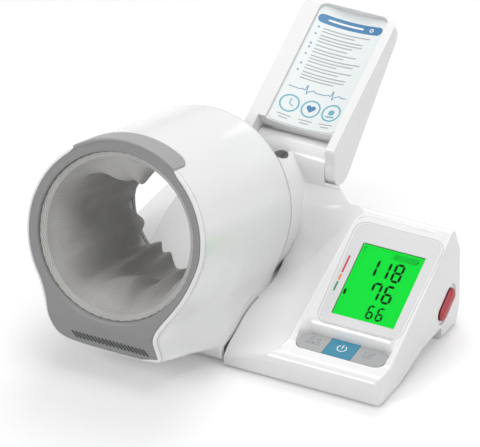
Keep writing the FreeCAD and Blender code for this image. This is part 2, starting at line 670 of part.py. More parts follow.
def battery_cover():
    """Plate with four hooks that slides back out of the bay's lips, with finger ridges."""
    x0, x1, y0, y1 = bay_limits()
    gap = COVER_GAP
    top = FOOT_GAP + HOOK_LIP - 0.1
    plate = slab(x0 + gap, x1 - gap, y0 + gap, y1 - gap, FOOT_GAP - COVER_PROUD, top, 1.5)
    for i in range(6):
        x = (x0 + x1) / 2 - 15 + 6 * i
        plate = plate.cut(slab(x - 2, x + 2, y0 + 4, y0 + 5.2, 0, FOOT_GAP - COVER_PROUD + 0.5))
    hooks = []
    for y in hook_spots():
        for edge, inward in ((x0, 1), (x1, -1)):
            ends = sorted((edge - inward * HOOK_REACH, edge + inward * (HOOK_REACH - 0.2)))
            hooks.append(slab(*ends, y, y + HOOK_L, top + 0.2, top + 0.1 + HOOK_T))
            stem = sorted((edge + inward * (gap + 0.05), edge + inward * (HOOK_REACH - 0.2)))
            hooks.append(slab(*stem, y, y + HOOK_L, top - 0.5, top + HOOK_T))
    return plate.fuse(hooks).removeSplitter()


def cell_rows():
    """Height of the cells' axes and their places across the bay."""
    y0 = bay_limits()[2]
    z = FOOT_GAP + HOOK_LIP + CELL_R + 0.1
    pitch = 2 * CELL_R + CELL_GAP
    return z, [y0 + CELL_GAP + CELL_R + row * pitch for row in range(CELLS)]


def cells():
    x0 = bay_limits()[0]
    z, rows = cell_rows()
    out = []
    for y in rows:
        start = Vec(x0 + SPRING_L, y, z)
        can = rod(CELL_R, CELL_L - 1.2, start, Vec(1, 0, 0))
        out.append(can.fuse(rod(2.7, CELL_L, start, Vec(1, 0, 0))))
    return Part.makeCompound(out)


def contacts():
    """Contact plates on the bay's end walls, each with a cone spring against its cell."""
    x0, x1 = bay_limits()[:2]
    z, rows = cell_rows()
    out = []
    for y in rows:
        for x, inward in ((x0, 1), (x1, -1)):
            plate = slab(*sorted((x, x + inward * 0.4)), y - 5, y + 5, z - 4, z + 5)
            spring = Part.makeCone(3.6, 2.2, SPRING_L, Vec(x, y, z), Vec(inward, 0, 0))
            out.append(plate.fuse(spring))
    return Part.makeCompound(out)


def rubber_feet():
    mid = -WEDGE_W / 2
    strip = slab(mid - STRIP_FOOT_W / 2, mid + STRIP_FOOT_W / 2, STRIP_FOOT_Y - STRIP_FOOT_D / 2,
                 STRIP_FOOT_Y + STRIP_FOOT_D / 2, 0, FOOT_GAP, 2)
    lug_x = lug_right() - LUG_T / 2
    pads = [(-7.0 - PAD_R, 130, PAD_R), (-WEDGE_W + 4, 130, PAD_R), (TRAY_LEFT + 22, TRAY_Y[0] + 22, PAD_R),
            (TRAY_LEFT + 26, TRAY_Y[1] - 26, PAD_R), (-WEDGE_W - 30, TRAY_Y[1] - 18, PAD_R),
            (lug_x, HINGE_Y + 8, LUG_T / 2 - 0.2)]
    return Part.makeCompound([strip] + [rod(radius, FOOT_GAP, Vec(x, y, 0), Vec(0, 0, 1)) for x, y, radius in pads])


def overlay_block(fit, z0, z1):
    """Overlay outline, a little wider at its upper end."""
    right_low, right_high = OVERLAY_RIGHT
    wide_low, wide_high = OVERLAY_W
    start, end = OVERLAY_START + fit, OVERLAY_START + OVERLAY_L - fit
    corners = [(-right_low - wide_low + fit, start, OVERLAY_R), (-right_low - fit, start, OVERLAY_R),
               (-right_high - fit, end, OVERLAY_R), (-right_high - wide_high + fit, end, OVERLAY_R)]
    return placed(prism_xy(corners, z0, z1), PANEL_PLACE)


def display_overlay():
    plate = overlay_block(0.1, -OVERLAY_T, 0)
    return plate.cut(panel_block(LCD_RIGHT, LCD_W, LCD_START, LCD_L, 1, -9, 9))


def lcd_lens():
    return panel_block(LCD_RIGHT + 0.05, LCD_W - 0.1, LCD_START + 0.05, LCD_L - 0.1, 1, -0.2 - LENS_T, -0.2)


def lcd_panel():
    low = -0.2 - LENS_T - 0.05 - LCD_T
    return panel_block(LCD_RIGHT + 0.5, LCD_W - 1, LCD_START + 0.5, LCD_L - 1, 1, low, low + LCD_T)


def lcd_frame():
    top = -0.2 - LENS_T - 0.05
    low = top - LCD_T - LCD_FRAME_T
    tray = panel_block(LCD_RIGHT + 0.1, LCD_W - 0.2, LCD_START + 0.1, LCD_L - 0.2, 2, low, top)
    return tray.cut(panel_block(LCD_RIGHT + 0.45, LCD_W - 0.9, LCD_START + 0.45, LCD_L - 0.9, 1, top - LCD_T, 5))


def key_limits(index):
    """Left and right limits of a key along the strip."""
    stops = (-STRIP_RIGHT - STRIP_W, *KEY_SPLITS, -STRIP_RIGHT)
    return stops[index], stops[index + 1]


def key_middle(index):
    return Vec(sum(key_limits(index)) / 2, STRIP_L / 2, 0)


def key_guide():
    """Plate under the keys with a guide hole for each stem."""
    plate = strip_block(-0.05, GUIDE_Z, GUIDE_Z + PLATE_T)
    for index in range(3):
        hole = rod(STEM_R + STEM_FIT, 20, key_middle(index) - Vec(0, 0, 15), Vec(0, 0, 1))
        plate = plate.cut(placed(hole, STRIP_PLACE))
    return plate


def key(index):
    """Key cap that fills its share of the strip, on a guided stem."""
    left, right = key_limits(index)
    blank = Part.Face(strip_outline(-KEY_GAP, -KEY_T)).extrude(Vec(0, 0, KEY_T))
    share = slab(left + KEY_GAP / 2, right - KEY_GAP / 2, -5, STRIP_L + 5, -KEY_T - 1, 1)
    stem = rod(STEM_R, STEM_L, key_middle(index) - Vec(0, 0, KEY_T + STEM_L), Vec(0, 0, 1))
    return placed(blank.common(share).fuse(stem), STRIP_PLACE)


def key_switches():
    out = []
    for index in range(3):
        mid = key_middle(index)
        body = slab(mid.x - 3, mid.x + 3, mid.y - 3, mid.y + 3, BOARD_Z, BOARD_Z + SWITCH_T)
        out.append(placed(body, STRIP_PLACE))
    return Part.makeCompound(out)


def circuit_board():
    """Board under the key strip and the display, parallel to the strip."""
    board = slab(-STRIP_RIGHT - STRIP_W + 4, -STRIP_RIGHT - 4, 3, STRIP_L - 3, BOARD_Z - PCB_T, BOARD_Z, 2)
    return placed(board, STRIP_PLACE)


def stop_button():
    cap = stop_block(0, -WALL - 2, STOP_PROUD)
    flange = stop_block(1.6, -WALL - 3.4, -WALL - 0.4)
    return cap.fuse(flange)


def stop_switch():
    body = slab(STOP_SWITCH_X - STOP_SWITCH_T, STOP_SWITCH_X, -4, 4, -4, 4)
    body.rotate(Vec(0, 0, 0), Vec(1, 0, 0), STOP_ANGLE)
    body.translate(Vec(0, *STOP_MID))
    return body


def pump_start():
    """Right end of the pump's axis."""
    return Vec(-ARCH_DEPTH - PUMP_GAP, *PUMP_YZ)


def valve_mid():
    return Vec(HOSE_DROP_X - VALVE_GAP, *VALVE_YZ)


def air_pump():
    start = pump_start()
    left = Vec(-1, 0, 0)
    motor = rod(PUMP_R, PUMP_L * 0.55, start, left)
    head = rod(PUMP_R + 1.5, PUMP_L * 0.35, start + left * (PUMP_L * 0.55), left)
    spout = rod(2.2, PUMP_L, start, left)
    return motor.fuse([head, spout])


def release_valve():
    x, y, z = valve_mid()
    half = VALVE_H / 2
    body = slab(x - half, x + half, y - half, y + half, z - half, z + half, 2)
    return body.fuse(rod(2, 11, Vec(x, y, z + 3), Vec(1, 0, 0)))


def bent_rod(points, radius):
    """Round bar along straight legs, with a ball in each corner."""
    legs = [rod(radius, (end - start).Length, start, end - start) for start, end in zip(points, points[1:])]
    balls = [Part.makeSphere(radius, point) for point in points[1:-1]]
    return legs[0].fuse(legs[1:] + balls)


def air_hose():
    """Hose from the pump past the valve and on into the hollow shaft."""
    spout = pump_start() - Vec(PUMP_L, 0, 0)
    bend = spout - Vec(HOSE_GAP, 0, 0)
    x, over = HOSE_DROP_X, FOOT_GAP + BAY_H + HOSE_R + 2
    path = [spout, bend, Vec(bend.x, bend.y - 10, over + 3), Vec(x, bend.y - 20, over + 2), Vec(x, BAY_Y + 2, over + 1),
            Vec(x, BAY_Y - 6, over - 3), Vec(x, BAY_Y - 10, HINGE_Z), Vec(x, HINGE_Y, HINGE_Z),
            Vec(-WEDGE_W - HUB_L, HINGE_Y, HINGE_Z)]
    inlet = valve_mid() + Vec(VALVE_H / 2 + 5, 0, 3)
    branch = [inlet, Vec(x, inlet.y, inlet.z), Vec(x, bend.y - 19, over + 2)]
    return bent_rod(path, HOSE_R).fuse(bent_rod(branch, HOSE_R))


def dc_socket():
    mid = jack_mid()
    body = rod(JACK_R + 2.1, 11, mid + Vec(0, -11.5, 0), Vec(0, 1, 0))
    body = body.cut(rod(JACK_R, 9, mid + Vec(0, -9.5, 0), Vec(0, 1, 0)))
    return body.fuse(rod(0.8, 8, mid + Vec(0, -10.5, 0), Vec(0, 1, 0)))


def tunnel_shaft():
    """Hollow shaft that carries the tunnel hinge and the air hose."""
    x0 = lug_right() - LUG_T
    length = -WEDGE_W + SHAFT_REACH - x0
    return tube(SHAFT_R, SHAFT_BORE_R, length, Vec(x0, HINGE_Y, HINGE_Z), Vec(1, 0, 0))


def hinge_block():
    """Fixed barrel between the lid arms, with a scooped niche over the speaker."""
    x0 = LID_X[0] + ARM_W + ARM_GAP
    x1 = LID_X[1] - ARM_W - ARM_GAP
    barrel = rod(LID_KNUCKLE_R, x1 - x0, Vec(x0, LID_Y, LID_Z), Vec(1, 0, 0))
    foot = slab(x0, x1, LID_Y - LID_KNUCKLE_R, LID_Y + LID_KNUCKLE_R, HOOD_RIDGE_Z - 14, LID_Z)
    block = barrel.fuse(foot).cut(hood_crown())
    seat = grille_seat()
    niche = rod(NICHE_R, 14, seat - Vec(0, 0, 6), Vec(0, 0, 1))
    dome = Part.makeSphere(NICHE_R, seat + Vec(0, 0, 8))
    pins = rod(PIN_R, LID_X[1] - LID_X[0], Vec(LID_X[0], LID_Y, LID_Z), Vec(1, 0, 0))
    return block.cut([niche, dome, pins, grille_pocket()])


def hood_crown():
    """The hood and flank, as the hinge block meets them."""
    return hood_ring().fuse(hood_flank(base_cavity())).cut(arm_path())


def speaker_grille():
    disc = grille_rod(GRILLE_R - 0.05, -GRILLE_T, 0)
    holes = [grille_rod(GRILLE_HOLE_R, -9, 9)]
    for ring, count in ((3.0, 6), (5.8, 12), (8.4, 16)):
        for i in range(count):
            turn = 2 * math.pi * i / count
            spot = Vec(ring * math.cos(turn), ring * math.sin(turn), 0)
            holes.append(grille_rod(GRILLE_HOLE_R, -9, 9, spot))
    return disc.cut(holes)


def speaker():
    basket = grille_rod(GRILLE_R - 0.3, -GRILLE_T - 3.4, -GRILLE_T - 0.3)
    return basket.fuse(grille_rod(6, -GRILLE_T - SPEAKER_T, -GRILLE_T - 3.4))


def lid_pins():
    left = LID_X[0] + ARM_W / 2
    right = LID_X[1] - ARM_W / 2 - PIN_L
    return Part.makeCompound([rod(PIN_R, PIN_L, Vec(x, LID_Y, LID_Z), Vec(1, 0, 0)) for x in (left, right)])


# --- tunnel ----------------------------------------------------------------------------------
def foot_corners(grow):
    """Flared foot below the ring, in the tunnel's own frame."""
    left, right = FOOT_W
    low = -FOOT_DROP - grow
    return [(left - 26 - grow, -50, 0), (left - 13 - grow, -77, 30), (left - 3 - grow, low, 12 + grow),
            (right + 7 + grow, low, 8 + grow), (right - 6 + grow, -76, 16), (right + 12 + grow, -50, 0)]


def tube_solid(radius_front, radius_back, length):
    if radius_front == radius_back:
        return rod(radius_front, length, Vec(0, 0, -length), Vec(0, 0, 1))
    return Part.makeCone(radius_back, radius_front, length, Vec(0, 0, -length), Vec(0, 0, 1))


def foot_solid(grow, length, front=0.0):
    return Part.Face(outline(foot_corners(grow), on_xy(front - length))).extrude(Vec(0, 0, length))


def hub_solid():
    """Barrel on the hinge axis with the fairing that joins it to the tunnel."""
    x0 = -WEDGE_W - HUB_GAP - HUB_L
    barrel = rod(HUB_R, HUB_L, Vec(x0, HINGE_Y, HINGE_Z), Vec(1, 0, 0))
    low, high = FAIRING_TOP
    nose = [(HINGE_Y - HUB_R + 1, HINGE_Z - 2, 0), (-NOSE_LEAN, NOSE_TOP - 6, NOSE_R), (*low, 6), (*high, 6),
            (FAIRING_BACK_Y, high[1] + 1, 4), (FAIRING_BACK_Y - 10, TUNNEL_FLOOR, 0), (HINGE_Y, HINGE_Z - 3, 0)]
    fairing = prism_yz(nose, x0, -WEDGE_W - HUB_GAP)
    web = prism_yz([(2, 18, 0), (-26, 60, 0), (30, 75, 0), (70, 60, 0), (FAIRING_BACK_Y - 4, 20, 0)], x0,
                   -WEDGE_W - HUB_GAP - 8)
    return barrel.fuse([fairing, web])


def lug_room():
    """Space for the left bearing under the tunnel."""
    x1 = -WEDGE_W - HUB_GAP - HUB_L
    return slab(x1 - LUG_T - 2, x1, HINGE_Y - LUG_R - 6, TRAY_Y[0], -1, HINGE_Z + LUG_R + 1)


def above_floor(z):
    return slab(-BIG, BIG, -BIG, BIG, z, BIG)


def tunnel_shell():
    hub_trim = TUBE_FRONT_R - HUB_SINK
    outer = tube_solid(TUBE_FRONT_R, TUBE_BACK_R, TUBE_L).fuse(foot_solid(0, FOOT_L))
    body = placed(outer, TUNNEL_PLACE).cut(lug_room())
    body = body.fuse(hub_solid().cut(placed(tube_solid(hub_trim, hub_trim, TUBE_L), TUNNEL_PLACE)))
    floor_cut = above_floor(TUNNEL_FLOOR).fuse(slab(-WEDGE_W - HUB_L - 1, -WEDGE_W, -30, 24, -5, TUNNEL_FLOOR))
    body = body.common(floor_cut)
    inner = placed(tube_solid(TUBE_FRONT_R - TUBE_WALL, TUBE_BACK_R - TUBE_WALL, TUBE_L), TUNNEL_PLACE)
    body = body.cut(inner.common(above_floor(TUNNEL_FLOOR + TUBE_WALL)))
    body = body.cut(placed(bezel_solid(0.1), TUNNEL_PLACE))
    body = body.cut(placed(foot_solid(-TUBE_WALL - BEZEL_RIM, FOOT_L - TUBE_WALL), TUNNEL_PLACE))
    bore = rod(SHAFT_R + BUSH_T, BIG, Vec(-BIG, HINGE_Y, HINGE_Z), Vec(1, 0, 0))
    body = body.cut(bore)
    body = body.cut(placed(tab_solid(0.1), TUNNEL_PLACE))
    return body.fuse(ring_bosses()).cut(ring_screw_bores())


def bezel_solid(fit):
    """Front bezel with its foot, set into the shell's rim."""
    round_part = rod(TUBE_FRONT_R - BEZEL_RIM + fit, BEZEL_T + 1, Vec(0, 0, -BEZEL_T), Vec(0, 0, 1))
    return round_part.fuse(foot_solid(-BEZEL_RIM + fit, BEZEL_T + 1, 1))


def tab_solid(fit):
    inner = TUBE_FRONT_R - 2
    return sector(inner - fit, TUBE_FRONT_R + TAB_T, (TAB_ANGLES[0] - fit, TAB_ANGLES[1] + fit), -TAB_L - fit, 1)


def front_bezel():
    face = bezel_solid(0).common(slab(-BIG, BIG, -BIG, BIG, -BEZEL_T, 0))
    radius = TUBE_FRONT_R - BEZEL_W
    mouth = Part.makeCone(radius - 1, radius + 1, BEZEL_T + 2, Vec(0, 0, -BEZEL_T - 1), Vec(0, 0, 1))
    face = face.cut(mouth)
    left, right = FOOT_W
    step = (right - left - 10) / VENTS
    vents = []
    for i in range(VENTS):
        x = left + 6 + step * (i + 0.5)
        vent = slab(x - VENT_W / 2, x + VENT_W / 2, -VENT_L, 1, -BEZEL_T - 1, 1)
        vent.rotate(Vec(x, 0, 0), Vec(0, 0, 1), -14)
        vent.translate(Vec(0, -FOOT_DROP + BEZEL_RIM + 1 + VENT_L, 0))
        vents.append(vent)
    return placed(face.cut(vents), TUNNEL_PLACE)


def top_tab():
    return placed(tab_solid(0).common(slab(-BIG, BIG, -BIG, BIG, -TAB_L, 0)), TUNNEL_PLACE)


def back_ring():
    """Annulus that closes the rear end, cut level above the sill."""
    ring = tube(TUBE_BACK_R - TUBE_WALL - 0.1, SLEEVE_R, BACK_RING_T, Vec(0, 0, -TUBE_L), Vec(0, 0, 1))
    ring = placed(ring, TUNNEL_PLACE).common(above_floor(TUNNEL_FLOOR + TUBE_WALL + 0.1))
    return ring.cut(ring_screw_bores())


def cuff_drum():
    length = TUBE_L - BEZEL_T - BACK_RING_T - 0.2
    back = -TUBE_L + BACK_RING_T + 0.1
    return placed(tube(DRUM_R, DRUM_R - DRUM_T, length, Vec(0, 0, back), Vec(0, 0, 1)), TUNNEL_PLACE)


def air_bladder():
    outer = DRUM_R - DRUM_T - SOFT_GAP
    length = TUBE_L - BEZEL_T - BACK_RING_T - BLADDER_FRONT - BLADDER_BACK
    back = -TUBE_L + BACK_RING_T + BLADDER_BACK
    return placed(tube(outer, outer - BLADDER_T + SOFT_GAP, length, Vec(0, 0, back), Vec(0, 0, 1)), TUNNEL_PLACE)


def cuff_sleeve():
    """Fabric liner: a revolved wall that flares out to the bezel."""
    thick = SLEEVE_T
    back = -TUBE_L + BACK_RING_T + 1
    flare = -BEZEL_T - 20
    front = -BEZEL_T - 0.3
    lip = DRUM_R - DRUM_T - SOFT_GAP
    points = [(SLEEVE_R, back), (SLEEVE_R, flare), (lip - thick, front), (lip, front),
              (lip, front - 2), (SLEEVE_R + thick, flare), (SLEEVE_R + thick, back)]
    wire = Part.makePolygon([Vec(r, 0, z) for r, z in points + points[:1]])
    return placed(Part.Face(wire).revolve(Vec(0, 0, 0), Vec(0, 0, 1), 360), TUNNEL_PLACE)


def hinge_bushes():
    x0 = -WEDGE_W - HUB_GAP - HUB_L
    out = []
    for x in (x0, x0 + HUB_L - 12):
        out.append(tube(SHAFT_R + BUSH_T, SHAFT_R + RUN_FIT, 12, Vec(x, HINGE_Y, HINGE_Z), Vec(1, 0, 0)))
    return Part.makeCompound(out)


def ring_screw_spots():
    """Places of the back ring's screws, in the tunnel's own frame."""
    radius = TUBE_BACK_R - TUBE_WALL - SCREW_BOSS_R + 1
    turns = [math.radians(angle) for angle in RING_SCREWS]
    return [Vec(radius * math.sin(turn), radius * math.cos(turn), -TUBE_L) for turn in turns]


def ring_bosses():
    """Screw bosses inside the shell's rear end."""
    bosses = []
    for spot in ring_screw_spots():
        bosses.append(rod(SCREW_BOSS_R, 14, spot + Vec(0, 0, BACK_RING_T + 0.1), Vec(0, 0, 1)))
    return placed(Part.makeCompound(bosses), TUNNEL_PLACE)


def ring_screw_bores():
    bores = [rod(SCREW_R, 12, spot, Vec(0, 0, 1)) for spot in ring_screw_spots()]
    return placed(Part.makeCompound(bores), TUNNEL_PLACE)


def back_ring_screws():
    screws = [screw(spot.x, spot.y, spot.z - 1.2, 12) for spot in ring_screw_spots()]
    return placed(Part.makeCompound(screws), TUNNEL_PLACE)


# --- lid --------------------------------------------------------------------------------------
def lid_tray():
    """Wedge-shaped trough on two arms, with a ledge under the card."""
    side = [(-LID_KNUCKLE_R, -6, 0), (-5, LID_RIM, 6), (LID_L, LID_RIM, 4), (LID_L + 3, LID_RIM - LID_TIP_T, 5),
            (6, -LID_KNUCKLE_R + 1, 3)]
    x0, x1 = LID_X
    plate = prism_yz(side, x0, x1).fuse(rod(LID_KNUCKLE_R, x1 - x0, Vec(x0, 0, 0), Vec(1, 0, 0)))
    plan = slab(x0, x1, -60, LID_L + 3, -60, 60, 14).fuse(slab(x0, x1, -60, 60, -60, 60))
    plate = plate.common(plan)
    mid = CARD_X
    half = CARD_W / 2
    sag = TROUGH_R - math.sqrt(TROUGH_R ** 2 - half ** 2)
    trough = rod(TROUGH_R, BIG, Vec(mid, -300, LID_RIM - CARD_DROP + TROUGH_R - sag), Vec(0, 1, 0))
    window = slab(mid - half, mid + half, -60, CARD_L + CARD_START + 6, -BIG, BIG, 7)
    plate = plate.cut(trough.common(window))
    inner0, inner1 = x0 + ARM_W, x1 - ARM_W
    ledge_z = LID_RIM - CARD_DROP - sag - 2
    gap = slab(inner0, inner1, -60, CARD_START, -60, 60)
    under = slab(inner0, inner1, -60, LID_KNUCKLE_R + 6, -60, ledge_z - 4)
    plate = plate.cut([gap, under])
    plate = plate.cut(rod(PIN_R + RUN_FIT, x1 - x0, Vec(x0, 0, 0), Vec(1, 0, 0)).common(
        slab(inner0 - ARM_W / 2, inner1 + ARM_W / 2, -50, 50, -50, 50)))
    return placed(plate, LID_PLACE)


def instruction_card():
    """Thin curved card that lies in the trough."""
    mid = CARD_X
    half = CARD_W / 2
    sag = TROUGH_R - math.sqrt(TROUGH_R ** 2 - half ** 2)
    centre = Vec(mid, CARD_START + 1, LID_RIM - CARD_DROP + TROUGH_R - sag)
    shell = tube(TROUGH_R - 0.05, TROUGH_R - CARD_T, CARD_L + 4, centre, Vec(0, 1, 0))
    window = slab(mid - half + 0.5, mid + half - 0.5, CARD_START + 1, CARD_START + 4 + CARD_L, -20, LID_RIM, 5)
    return placed(shell.common(window), LID_PLACE)


# --- build --------------------------------------------------------------------------------------
PIECES = {
    "base_housing": base_housing,
    "bottom_cover": bottom_cover,
    "bottom_screws": bottom_screws,
    "battery_cover": battery_cover,
    "battery_cells": cells,
    "battery_contacts": contacts,
    "rubber_feet": rubber_feet,
    "display_overlay": display_overlay,
    "lcd_lens": lcd_lens,
    "lcd_panel": lcd_panel,
    "lcd_frame": lcd_frame,
    "key_guide": key_guide,
    "user_key": lambda: key(0),
    "start_key": lambda: key(1),
    "memory_key": lambda: key(2),
    "key_switches": key_switches,
    "circuit_board": circuit_board,
    "stop_button": stop_button,
    "stop_switch": stop_switch,
    "air_pump": air_pump,
    "release_valve": release_valve,
    "air_hose": air_hose,
    "dc_socket": dc_socket,
    "tunnel_shaft": tunnel_shaft,
    "hinge_block": hinge_block,
    "speaker_grille": speaker_grille,
    "speaker": speaker,
    "lid_pins": lid_pins,
    "tunnel_shell": tunnel_shell,
    "front_bezel": front_bezel,
    "top_tab": top_tab,
    "back_ring": back_ring,
    "cuff_drum": cuff_drum,
    "air_bladder": air_bladder,
    "cuff_sleeve": cuff_sleeve,
    "hinge_bushes": hinge_bushes,
    "back_ring_screws": back_ring_screws,
    "lid_tray": lid_tray,
    "instruction_card": instruction_card,
}

os.makedirs("parts", exist_ok=True)
for piece_name, make in PIECES.items():
    solid = make()
    save(piece_name, solid)
    print(piece_name, len(solid.Solids), solid.isValid(), round(solid.Volume))
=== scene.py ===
import math

import bpy
import numpy as np
from mathutils import Matrix, Vector


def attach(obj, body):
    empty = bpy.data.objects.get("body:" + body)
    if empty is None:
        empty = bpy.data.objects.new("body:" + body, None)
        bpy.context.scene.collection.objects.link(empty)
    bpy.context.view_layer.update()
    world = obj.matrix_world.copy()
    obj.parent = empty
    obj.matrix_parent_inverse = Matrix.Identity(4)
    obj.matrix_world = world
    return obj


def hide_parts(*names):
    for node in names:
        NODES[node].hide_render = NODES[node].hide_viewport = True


# Looks of an arm-in blood pressure monitor: glossy white shells, a grey front ring, a
# ribbed cloth cuff, a green display with keys and a lid that holds a printed card.
# Shapes are worked out in millimetres in the row frame, and put into meshes in metres.

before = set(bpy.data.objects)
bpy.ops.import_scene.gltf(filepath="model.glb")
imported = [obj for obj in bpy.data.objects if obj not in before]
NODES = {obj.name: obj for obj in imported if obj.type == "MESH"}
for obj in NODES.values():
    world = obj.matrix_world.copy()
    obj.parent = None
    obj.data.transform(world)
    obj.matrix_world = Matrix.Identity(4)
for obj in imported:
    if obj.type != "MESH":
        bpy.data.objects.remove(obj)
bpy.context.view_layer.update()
MM = 0.001

# --- places, in the row frame -------------------------------------------------------------
BASE_RIGHT = 71.5          # right face of the base, and its front
BASE_FRONT = -14.0
RING = (-148.0, -61.0, 129.7)      # centre of the tunnel's front ring
PITCH = 18.0               # how far the tunnel's axis rises to the front, degrees
TUNNEL_L = 162.0
RING_R = 81.0              # outer radius at the front, and at the back
RING_BACK_R = 84.0
BEZEL_R = 71.0             # inner edge of the front ring
BEZEL_T = 7.0
CUFF_R = 62.0              # clear bore of the cuff
PANEL = (BASE_RIGHT, 7.5, 28.0)    # right end of the display slope's lower edge
SLOPE = 29.8               # degrees from level, as are the other tilts
STRIP = (BASE_RIGHT, 1.5, 27.7)    # right end of the key strip's front edge
STRIP_TILT = 5.0
STOP = (BASE_RIGHT, 113.5, 30.0)   # middle of the stop button
STOP_ANGLE = 33.0
LID = (BASE_RIGHT, 152.0, 112.5)   # on the lid's hinge axis
LID_SLOPE = 28.0
CARD_MID = -155.5          # middle of the card, from the right face of the base
CARD_RIM = 26.5            # edge of the card's trough above the lid's hinge axis
TROUGH_R = 110.0


def tilted(origin, degrees):
    """Turns points of a plane tipped back about X by that angle into the row frame:
    across stays X, up the slope and off the slope share Y and Z by cosine and sine."""
    c, s = math.cos(math.radians(degrees)), math.sin(math.radians(degrees))
    turn = np.array([[1, 0, 0], [0, c, s], [0, -s, c]])
    return lambda points: np.asarray(points, float) @ turn + np.array(origin)


on_tunnel = tilted(RING, 90 - PITCH)
on_panel = tilted(PANEL, SLOPE)
on_strip = tilted(STRIP, STRIP_TILT)
on_lid = tilted(LID, LID_SLOPE)


# --- meshes -----------------------------------------------------------------------------
def make_mesh(name, points, faces, body, paint, uv=None, replaces=(), smooth=True):
    """Mesh from an (n, 3) array in millimetres and a list of faces, riding on its body."""
    mesh = bpy.data.meshes.new(name)
    mesh.from_pydata((np.asarray(points) * MM).tolist(), [], faces)
    if uv is not None:
        layer = mesh.uv_layers.new(name="UVMap")
        corners = np.zeros(len(mesh.loops), np.int32)
        mesh.loops.foreach_get("vertex_index", corners)
        layer.data.foreach_set("uv", np.asarray(uv, np.float32)[corners].ravel())
    mesh.polygons.foreach_set("use_smooth", [smooth] * len(mesh.polygons))
    mesh.update()
    piece = bpy.data.objects.new(name, mesh)
    bpy.context.scene.collection.objects.link(piece)
    mesh.materials.append(paint)
    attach(piece, body)
    if replaces:
        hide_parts(*replaces)
    return piece


def grid_faces(rows, columns, wrap_rows=False, wrap_columns=False):
    """Quads between neighbours of a rows by columns grid, wrapped round where it closes."""
    r = np.arange(rows if wrap_rows else rows - 1)[:, None]
    c = np.arange(columns if wrap_columns else columns - 1)[None, :]
    r1, c1 = (r + 1) % rows, (c + 1) % columns
    quads = np.stack([r * columns + c, r * columns + c1, r1 * columns + c1, r1 * columns + c], -1)
    return quads.reshape(-1, 4).tolist()


def tube_faces(rows, ring):
    """Faces of a closed tube: a ring of points in each row, and a flat cap at both ends."""
    last = (rows - 1) * ring
    caps = [list(range(ring))[::-1], list(range(last, last + ring))]
    return grid_faces(rows, ring, wrap_columns=True) + caps


def rounded_outline(x0, x1, y0, y1, radius, steps=8):
    """Rectangle whose corners are quarter circles, as (n, 2) points going round once."""
    turn = np.radians(np.linspace(0, 90, steps))
    quarter = np.stack([np.cos(turn), np.sin(turn)], -1) * radius
    spin = np.array([[0, 1], [-1, 0]])
    centres = [(x1 - radius, y1 - radius), (x0 + radius, y1 - radius),
               (x0 + radius, y0 + radius), (x1 - radius, y0 + radius)]
    corners = []
    for centre in centres:
        corners.append(quarter + centre)
        quarter = quarter @ spin
    return np.concatenate(corners)


def outline_normals(outline):
    """Outward direction at each point: the chord between its neighbours, turned right."""
    chord = np.roll(outline, -1, 0) - np.roll(outline, 1, 0)
    chord /= np.linalg.norm(chord, axis=1)[:, None] + 1e-12
    return np.stack([chord[:, 1], -chord[:, 0]], -1)


def stacked(outline, profile):
    """Closed solid whose rings are the outline drawn in by each profile inset, at that
    height, with a fan to the middle at both ends. Returns points and faces."""
    normals = outline_normals(outline)
    rings = [np.column_stack([outline - normals * inset, np.full(len(outline), height)])
             for inset, height in profile]
    count = len(outline)
    points = np.concatenate(rings)
    low = np.append(outline.mean(0), profile[0][1])
    high = np.append(outline.mean(0), profile[-1][1])
    faces = grid_faces(len(rings), count, wrap_columns=True)
    last = len(points) - count
    here = np.arange(count)
    after = (here + 1) % count
    faces += np.column_stack([after, here, np.full(count, len(points))]).tolist()
    faces += np.column_stack([last + here, last + after, np.full(count, len(points) + 1)]).tolist()
    return np.vstack([points, low, high]), faces


def ease(value, start, end):
    """0 up to start, 1 from end on, and a smooth cubic between them."""
    share = np.clip((np.asarray(value, float) - start) / (end - start), 0, 1)
    return share * share * (3 - 2 * share)


